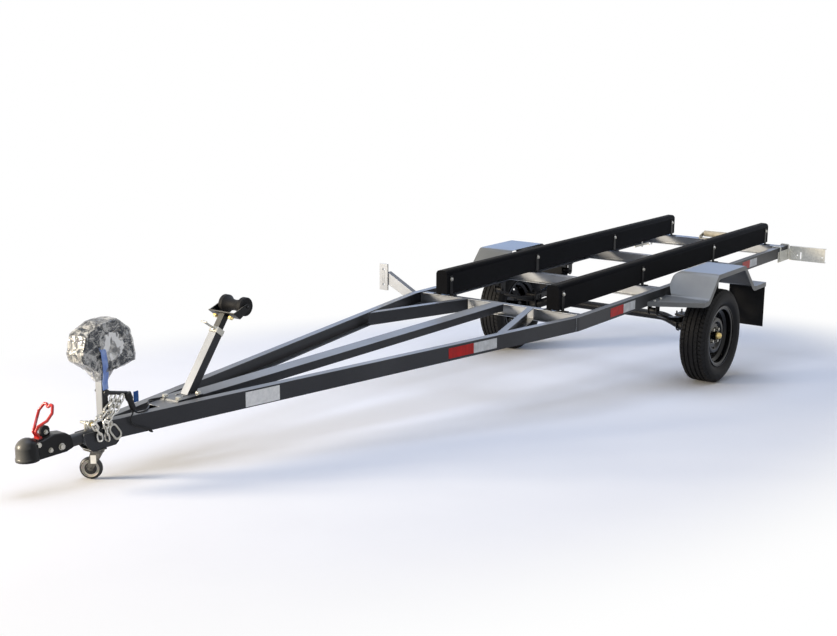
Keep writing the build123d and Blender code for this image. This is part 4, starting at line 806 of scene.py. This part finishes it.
# %% Hang the chains
CHAINS = {
    "chain_left": [(4053, 30, 699), (4082, 32, 666), (4110, 36, 645), (4140, 38, 633), (4160, 39, 618),
                   (4138, 40, 581), (4131, 40, 547)],
    "chain_middle": [(4028, 24, 692), (4052, 26, 660), (4085, 34, 628)],
    "chain_right": [(4018, 36, 688), (4045, 40, 654), (4076, 42, 632), (4104, 43, 614), (4105, 44, 573),
                    (4099, 42, 536)],
}
CHAIN_PITCH = LINK_LENGTH - 2 * WIRE
QUARTER = 90
CHAIN_LEAN = 20


def along_line(points, pitch):
    """Places and directions every pitch along a run of points."""
    points = [Vector(p) for p in points]
    places = []
    at = 0.0
    for a, b in zip(points, points[1:]):
        run = b - a
        while at < run.length:
            places.append((a + run.normalized() * at, run.normalized()))
            at += pitch
        at -= run.length
    return places


zinc_chain = plated("bright_zinc_chain", "9a9892", "d9d7d0", 0.3)
for name, points in CHAINS.items():
    bm = bmesh.new()
    for count, (place, run) in enumerate(along_line(points, CHAIN_PITCH)):
        lie = facing(place, run, QUARTER * (count % 2) + CHAIN_LEAN)
        stamp(bm, LINK, lie @ Matrix.Rotation(math.pi / 2, 4, "X"))
    make_piece(bm, name, zinc_chain)
    print(name, count + 1, "links")

# %% [markdown]
# ## Pin, hook and eye bolt
# A black steel pin holds the chains' upper ends, a zinc plated hook closes one of them, and an eye
# bolt crosses the tongue ahead of the post. All are made from round bar, so one function draws a bar
# between two points and softens its ends. The hook is one more bent wire, thicker than a link.


# %% Round bars
def rod(bm, start, end, radius, segments=20, bevel=0.8):
    """A round bar between two points, its ends bevelled."""
    start = Vector(start)
    end = Vector(end)
    stand = facing((start + end) / 2, end - start)
    made = bmesh.ops.create_cone(bm, cap_ends=True, segments=segments, radius1=radius, radius2=radius,
                                 depth=(end - start).length, matrix=stand)["verts"]
    rims = [e for e in bm.edges if all(v in made for v in e.verts)
            and max(len(f.verts) for f in e.link_faces) > 4]
    round_edges(bm, rims, bevel, 2)


def bar_piece(name, material, *bars):
    """A piece of round bars, each given as rod() takes them."""
    bm = bmesh.new()
    for bar in bars:
        rod(bm, *bar)
    piece = make_piece(bm, name, material)
    print(name, len(bars), "bars")
    return piece


# %% Pin, hook and eye bolt
black_steel = sprayed_paint("black_steel", "131315", "222225", 0.3, 0.4, 0.3 * MM)
bar_piece("chain_pin", black_steel,
          ((4085, 26, 723), (3986, 30, 700), 8),
          ((4082, 21, 722), (4082, -34, 722), 6),
          ((4082, 32, 722), (4082, 25, 722), 13))

HOOK_WIRE = 9
bm = bmesh.new()
bent_wire(bm, 17, 34, 12, HOOK_WIRE)
bmesh.ops.transform(bm, matrix=facing((4062, 44, 566), (0, 1, 0), 35), verts=bm.verts)
rod(bm, (4078, 44, 598), (4082, 44, 610), 7)
make_piece(bm, "safety_hook", zinc)

bar_piece("eye_washer", zinc, ((4163, 25, 617), (4163, 31, 617), 17, 28, 1.5))
bar_piece("eye_bolt_head", yellow_zinc, ((4163, 31, 617), (4163, 35, 617), 10, 24, 1.5))
bar_piece("eye_bolt", zinc,
          ((4163, -31, 617), (4163, 31, 617), 6),
          ((4163, 0, 586), (4163, 0, 625), 9))

# %% [markdown]
# ## Winch strap
# Polyester webbing comes off the drum over the front of the post and down to the pin. Its weave
# shows as fine ribs across the width, and it has worn pale along the middle. It is a flat strip,
# bent at a few stations and given a thickness, and it is taut, so it doesn't sag.

# %% Webbing
# real ribs are about a millimetre apart, and are drawn coarser so that they show
RIB = 3.0 * MM
# a wave texture at scale 1 repeats about every 0.314 m
WAVE = 0.314
webbing, tree, shader, place = finish("blue_polyester_webbing", Roughness=0.8, Sheen_Weight=0.3)
ribs = add(tree, "ShaderNodeTexWave", {"bands_direction": "Z"}, {"Scale": WAVE / RIB, "Distortion": 0.6},
           {"Vector": place})
wear = add(tree, "ShaderNodeTexNoise", values={"Scale": 22.0, "Detail": 5.0}, links={"Vector": place})
mix = add(tree, "ShaderNodeMix", {"data_type": "FLOAT"}, {"Factor": 0.3},
          {"A": (wear, "Fac"), "B": (ribs, "Fac")})
tint = add(tree, "ShaderNodeValToRGB", links={"Fac": (mix, "Result")},
           stops=((0.3, "2a5cb4"), (0.68, "a3b7da")))
bump = add(tree, "ShaderNodeBump", values={"Strength": 0.5, "Distance": 0.5 * MM},
           links={"Height": (ribs, "Fac")})
join_up(tree, shader, (tint, "Color"), bump)
print("ribs", RIB / MM, "mm")

# %% Strap, in mm
STRAP_LINE = [(4110, 44, 908), (4108, 56, 893), (4103, 57, 845), (4098, 52, 800), (4094, 40, 768),
              (4086, 32, 736)]
STRAP_HALF = 14
STRAP_THICK = 1.8
bm = bmesh.new()
rows = []
for x, y, z in STRAP_LINE:
    rear = bmesh.ops.create_vert(bm, co=(x - STRAP_HALF, y - 3, z))["vert"]
    front = bmesh.ops.create_vert(bm, co=(x + STRAP_HALF, y + 1, z))["vert"]
    rows.append(bm.edges.new(rear + front))
for a, b in zip(rows, rows[1:]):
    bmesh.ops.bridge_loops(bm, edges=[a, b])
bmesh.ops.subdivide_edges(bm, edges=list(bm.edges), cuts=3, use_grid_fill=True)
bmesh.ops.solidify(bm, geom=list(bm.faces), thickness=STRAP_THICK)
make_piece(bm, "winch_strap", webbing)
print("strap", 2 * STRAP_HALF, "mm wide")

# %% [markdown]
# ## Shipping film round the winch
# The winch is wrapped in stretch film, pulled tight over its corners and twisted round the post. Thin
# plastic is smooth and nearly clear; its colour carries painted glints on the creases and painted
# shade between them. The winch's own outline, a little larger, is extruded to a shell, divided
# finely and pushed in and out along creases made of noise.

# %% Film's finish
FILM_ALPHA = 0.55
film, tree, shader, place = finish("stretch_film", Roughness=0.12, Alpha=FILM_ALPHA, Coat_Weight=0.6)
creases_and_glints = add(tree, "ShaderNodeTexNoise", links={"Vector": place},
              values={"Scale": 28.0, "Detail": 7.0, "Roughness": 0.72, "Distortion": 1.6})
# painted light: creases are coloured near white as painted glints, the hollows near black as painted shade
tint = add(tree, "ShaderNodeValToRGB", links={"Fac": (creases_and_glints, "Fac")},
           stops=((0.46, "1b1e22"), (0.6, "f0efe8")))
bump = add(tree, "ShaderNodeBump", values={"Strength": 0.9, "Distance": 4 * MM},
           links={"Height": (creases_and_glints, "Fac")})
join_up(tree, shader, (tint, "Color"), bump)
print("film lets", round(1 - FILM_ALPHA, 2), "of the light through")

# %% Film: the winch's outline (forward, up) from the foot of its frame, in mm
WINCH_OUTLINE = [(-50, 0), (26, 0), (94, 48), (100, 76), (80, 147), (10, 182), (-74, 188), (-128, 140),
                 (-148, 48), (-146, 17)]
WINCH_X = 4098
WINCH_Z = 812
WINCH_MIDDLE = Vector((-20, 94))
FILM_GAP = 3.0
FILM_HALF = 50
bm = bmesh.new()
loop = []
for x, z in WINCH_OUTLINE:
    out = (Vector((x, z)) - WINCH_MIDDLE).normalized() * FILM_GAP
    loop.append(bm.verts.new((WINCH_X + x + out.x, -FILM_HALF, WINCH_Z + z + out.y)))
push_out(bm, [bm.faces.new(loop)], (0, 2 * FILM_HALF, 0))
bmesh.ops.create_cone(bm, cap_ends=False, segments=20, radius1=31, radius2=62, depth=52,
                      matrix=Matrix.Translation((4084, 0, 796)) @ Matrix.Diagonal((1.0, 0.85, 1, 1)))
round_edges(bm, [e for e in bm.edges if not e.is_boundary], 3.5, 2)
print("film starts from", len(bm.faces), "faces")

# %% Crease the film
LONGEST_EDGE = 9
CREASE_HIGH = 3.2
CREASE_WAY = (0.02, 0.03, 0.012)
bmesh.ops.triangulate(bm, faces=list(bm.faces))
for _ in range(4):
    long_edges = [e for e in bm.edges if e.calc_length() > LONGEST_EDGE]
    bmesh.ops.subdivide_edges(bm, edges=long_edges, cuts=1)
    bmesh.ops.triangulate(bm, faces=[f for f in bm.faces if len(f.verts) > 4])
bm.normal_update()
for v in bm.verts:
    where = Vector([at * way for at, way in zip(v.co, CREASE_WAY)])
    fold = noise.ridged_multi_fractal(where, 0.9, 2.2, 5, 1.0, 2.0)
    v.co += v.normal * (fold - 0.9) * CREASE_HIGH
film_piece = make_piece(bm, "winch_film", film)
print("film", len(film_piece.data.polygons), "faces")

# %% [markdown]
# ## Winch gear
# A ratchet wheel sits on the drum's shaft outside each cheek and shows through the film as a light
# ring. Its teeth start as a circle of many points, every second pair drawn in, and the disc is
# extruded to its thickness.

# %% Ratchet wheels, in mm
DRUM_X = 4060
DRUM_Z = 904
CHEEK_Y = 46.2
RATCHET_RADIUS = 57
RATCHET_POINTS = 72
RATCHET_THICK = 2.6
TOOTH_ROOT = 0.93
bm = bmesh.new()
for side in (1, -1):
    stand = facing((DRUM_X, side * CHEEK_Y, DRUM_Z), (0, side, 0))
    rim = bmesh.ops.create_circle(bm, cap_ends=True, segments=RATCHET_POINTS, radius=RATCHET_RADIUS,
                                  matrix=stand)["verts"]
    for count, v in enumerate(rim):
        if count % 4 in (0, 1):
            hub = Vector((DRUM_X, v.co.y, DRUM_Z))
            v.co = hub + (v.co - hub) * TOOTH_ROOT
    disc = [f for f in bm.faces if all(v in rim for v in f.verts)]
    push_out(bm, disc, (0, side * RATCHET_THICK, 0))
make_piece(bm, "winch_ratchets", brushed_plate)
print(RATCHET_POINTS // 4, "teeth on each ratchet")

# %% [markdown]
# ## Wheel nuts
# Four plated nuts hold each road wheel, and they turn with it. They are the bolt head once more,
# stretched to a nut's height and stamped on the hub's circle.

# %% Wheel nuts, in mm from the middle of the wheel
WHEEL_NUTS = 4
NUT_CIRCLE = 50
HUB_FACE = 24.5
for side, name in ((1, "left"), (-1, "right")):
    bm = bmesh.new()
    for count in range(WHEEL_NUTS):
        angle = math.radians(45 + 90 * count)
        seat = (NUT_CIRCLE * math.cos(angle), side * HUB_FACE, NUT_CIRCLE * math.sin(angle))
        stamp(bm, HEX_HEAD, facing(seat, (0, side, 0), 12 * count) @ Matrix.Diagonal((1.1, 1.1, 1.75, 1)))
    wheel_place = Matrix.Translation((axle.x, joints["wheel_" + name + "_spin"]["pos_m"][1], axle.z))
    make_piece(bm, "wheel_nuts_" + name, zinc, "wheel_" + name, wheel_place)
    print("wheel_nuts_" + name, WHEEL_NUTS)

# %% [markdown]
# ## A blank label on the caster
# A vinyl label is stuck on the caster's fork and swivels with it. It is a thin plate with rounded
# corners, turned to lie on the fork's face, and it carries no marks.

# %% Label, in mm
LABEL_SIZE = (22, 0.8, 34)
LABEL_PLACE = (4139.6, 1.0, 466)
LABEL_HEADING = -53.7
label_vinyl = moulded("white_label_vinyl", "cfcfca", "ebebe6", 0.4, 1.5 * MM, 0.05 * MM)
bm = bmesh.new()
bmesh.ops.create_cube(bm, size=1)
bmesh.ops.scale(bm, vec=LABEL_SIZE, verts=bm.verts)
round_edges(bm, [e for e in bm.edges if abs(e.verts[0].co.y - e.verts[1].co.y) > 0.5], 2.0, 2)
bmesh.ops.rotate(bm, matrix=Matrix.Rotation(math.radians(LABEL_HEADING), 3, "Z"), verts=bm.verts)
bmesh.ops.translate(bm, vec=LABEL_PLACE, verts=bm.verts)
make_piece(bm, "caster_label", label_vinyl, "caster_swivel")
print("label", LABEL_SIZE[0], "by", LABEL_SIZE[2], "mm")

# %% [markdown]
# ## Bow stop screw and nut
# A long T-handled screw clamps the sliding arm in its collar, and a yellow plated nut holds each side
# of the roller's yoke. The screw stays with the post, and the nuts travel with the arm.

# %% Screw and nuts
bm = bmesh.new()
rod(bm, (3470, 0, 852), (3540, 0, 901), 4.5)
rod(bm, (3537, -16, 899), (3537, 16, 899), 3.5)
stamp(bm, HEX_HEAD, facing((3483, 0, 861), (0.82, 0, 0.57)) @ Matrix.Scale(0.9, 4))
make_piece(bm, "clamp_screw", zinc)
bm = bmesh.new()
for y in (44, -44):
    stamp(bm, HEX_HEAD, facing((3424, y, 904), (0.602, 0, -0.799)) @ Matrix.Scale(1.1, 4))
make_piece(bm, "yoke_nuts", yellow_zinc, "bow_arm")
print("1 screw and 2 nuts")

# %% [markdown]
# ## The lamps' plug
# The lamps' seven-pin plug stands parked beside the winch post, with a blue plastic clip by it. Its
# housing is moulded black plastic, half matt. Round bars of three sizes draw it, from the cable's
# grommet to the wide front end, with well rounded rims.

# %% Plug and clip
plug_plastic = moulded("black_plug_plastic", "08080a", "141416", 0.35, 1.5 * MM, 0.15 * MM)
bar_piece("trailer_plug", plug_plastic,
          ((3967, 42, 634), (3990, 40, 698), 12, 24, 2.5),
          ((3982, 41, 676), (3992, 40, 703), 15, 24, 2.0),
          ((3964, 42, 626), (3970, 42, 643), 8, 20, 2.0))
CLIP_SIZE = (24, 4, 44)
blue_plastic = moulded("blue_clip_plastic", "123c74", "1d5597", 0.35, 1.5 * MM, 0.1 * MM)
bm = bmesh.new()
bmesh.ops.create_cube(bm, size=1)
bmesh.ops.scale(bm, vec=CLIP_SIZE, verts=bm.verts)
round_edges(bm, list(bm.edges), 1.5, 2)
bmesh.ops.translate(bm, vec=(3951, 42, 680), verts=bm.verts)
rod(bm, (3974, 42, 656), (3953, 42, 664), 3)
make_piece(bm, "plug_clip", blue_plastic)

# %% [markdown]
# ## Cables
# One cable runs from the plug across the rails to an earth lug at the bow stop, and one hangs over
# the side and goes into the channel. Both are sheathed in soft black PVC. A flexible cable has no
# corners, so each is one smooth NURBS line led by a few listed points, with a round section.

# %% Earth lug and cable routes, in mm
CABLE = 6.5
CABLES = {
    "deck_cable": [(3963, 42, 626), (3958, 45, 617), (3940, 54, 616), (3905, 48, 616), (3868, 18, 614),
                   (3846, -6, 613), (3826, -34, 616), (3803, -53, 616), (3780, -48, 616),
                   (3758, -33, 618), (3748, -24, 620)],
    "side_cable": [(3968, 42, 627), (3976, 48, 618), (3990, 58, 617), (4004, 64, 604), (3996, 65, 582),
                   (3972, 67, 566), (3940, 72, 556), (3914, 76, 540), (3902, 74, 531), (3900, 62, 529),
                   (3900, 52, 531)],
}
earth_lug = bar_piece("earth_lug", zinc, ((3754, -21, 620), (3738, -32, 619), 4.2))
cable_sheath = moulded("black_cable_sheath", "070708", "121214", 0.45, 1.5 * MM, 0.1 * MM)

# %% Cables
for name, points in CABLES.items():
    curve = bpy.data.curves.new(name, "CURVE")
    curve.dimensions = "3D"
    curve.resolution_u = 10
    curve.bevel_depth = CABLE / 2 * MM
    curve.bevel_resolution = 4
    curve.use_fill_caps = True
    spline = curve.splines.new("NURBS")
    spline.points.add(len(points) - 1)
    for point, where in zip(spline.points, points):
        point.co = (*(CHASSIS @ (Vector(where) * MM)), 1)
    spline.order_u = 3
    spline.use_endpoint_u = True
    curve.materials.append(cable_sheath)
    cable = show(bpy.data.objects.new(name, curve))
    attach(cable, "chassis")
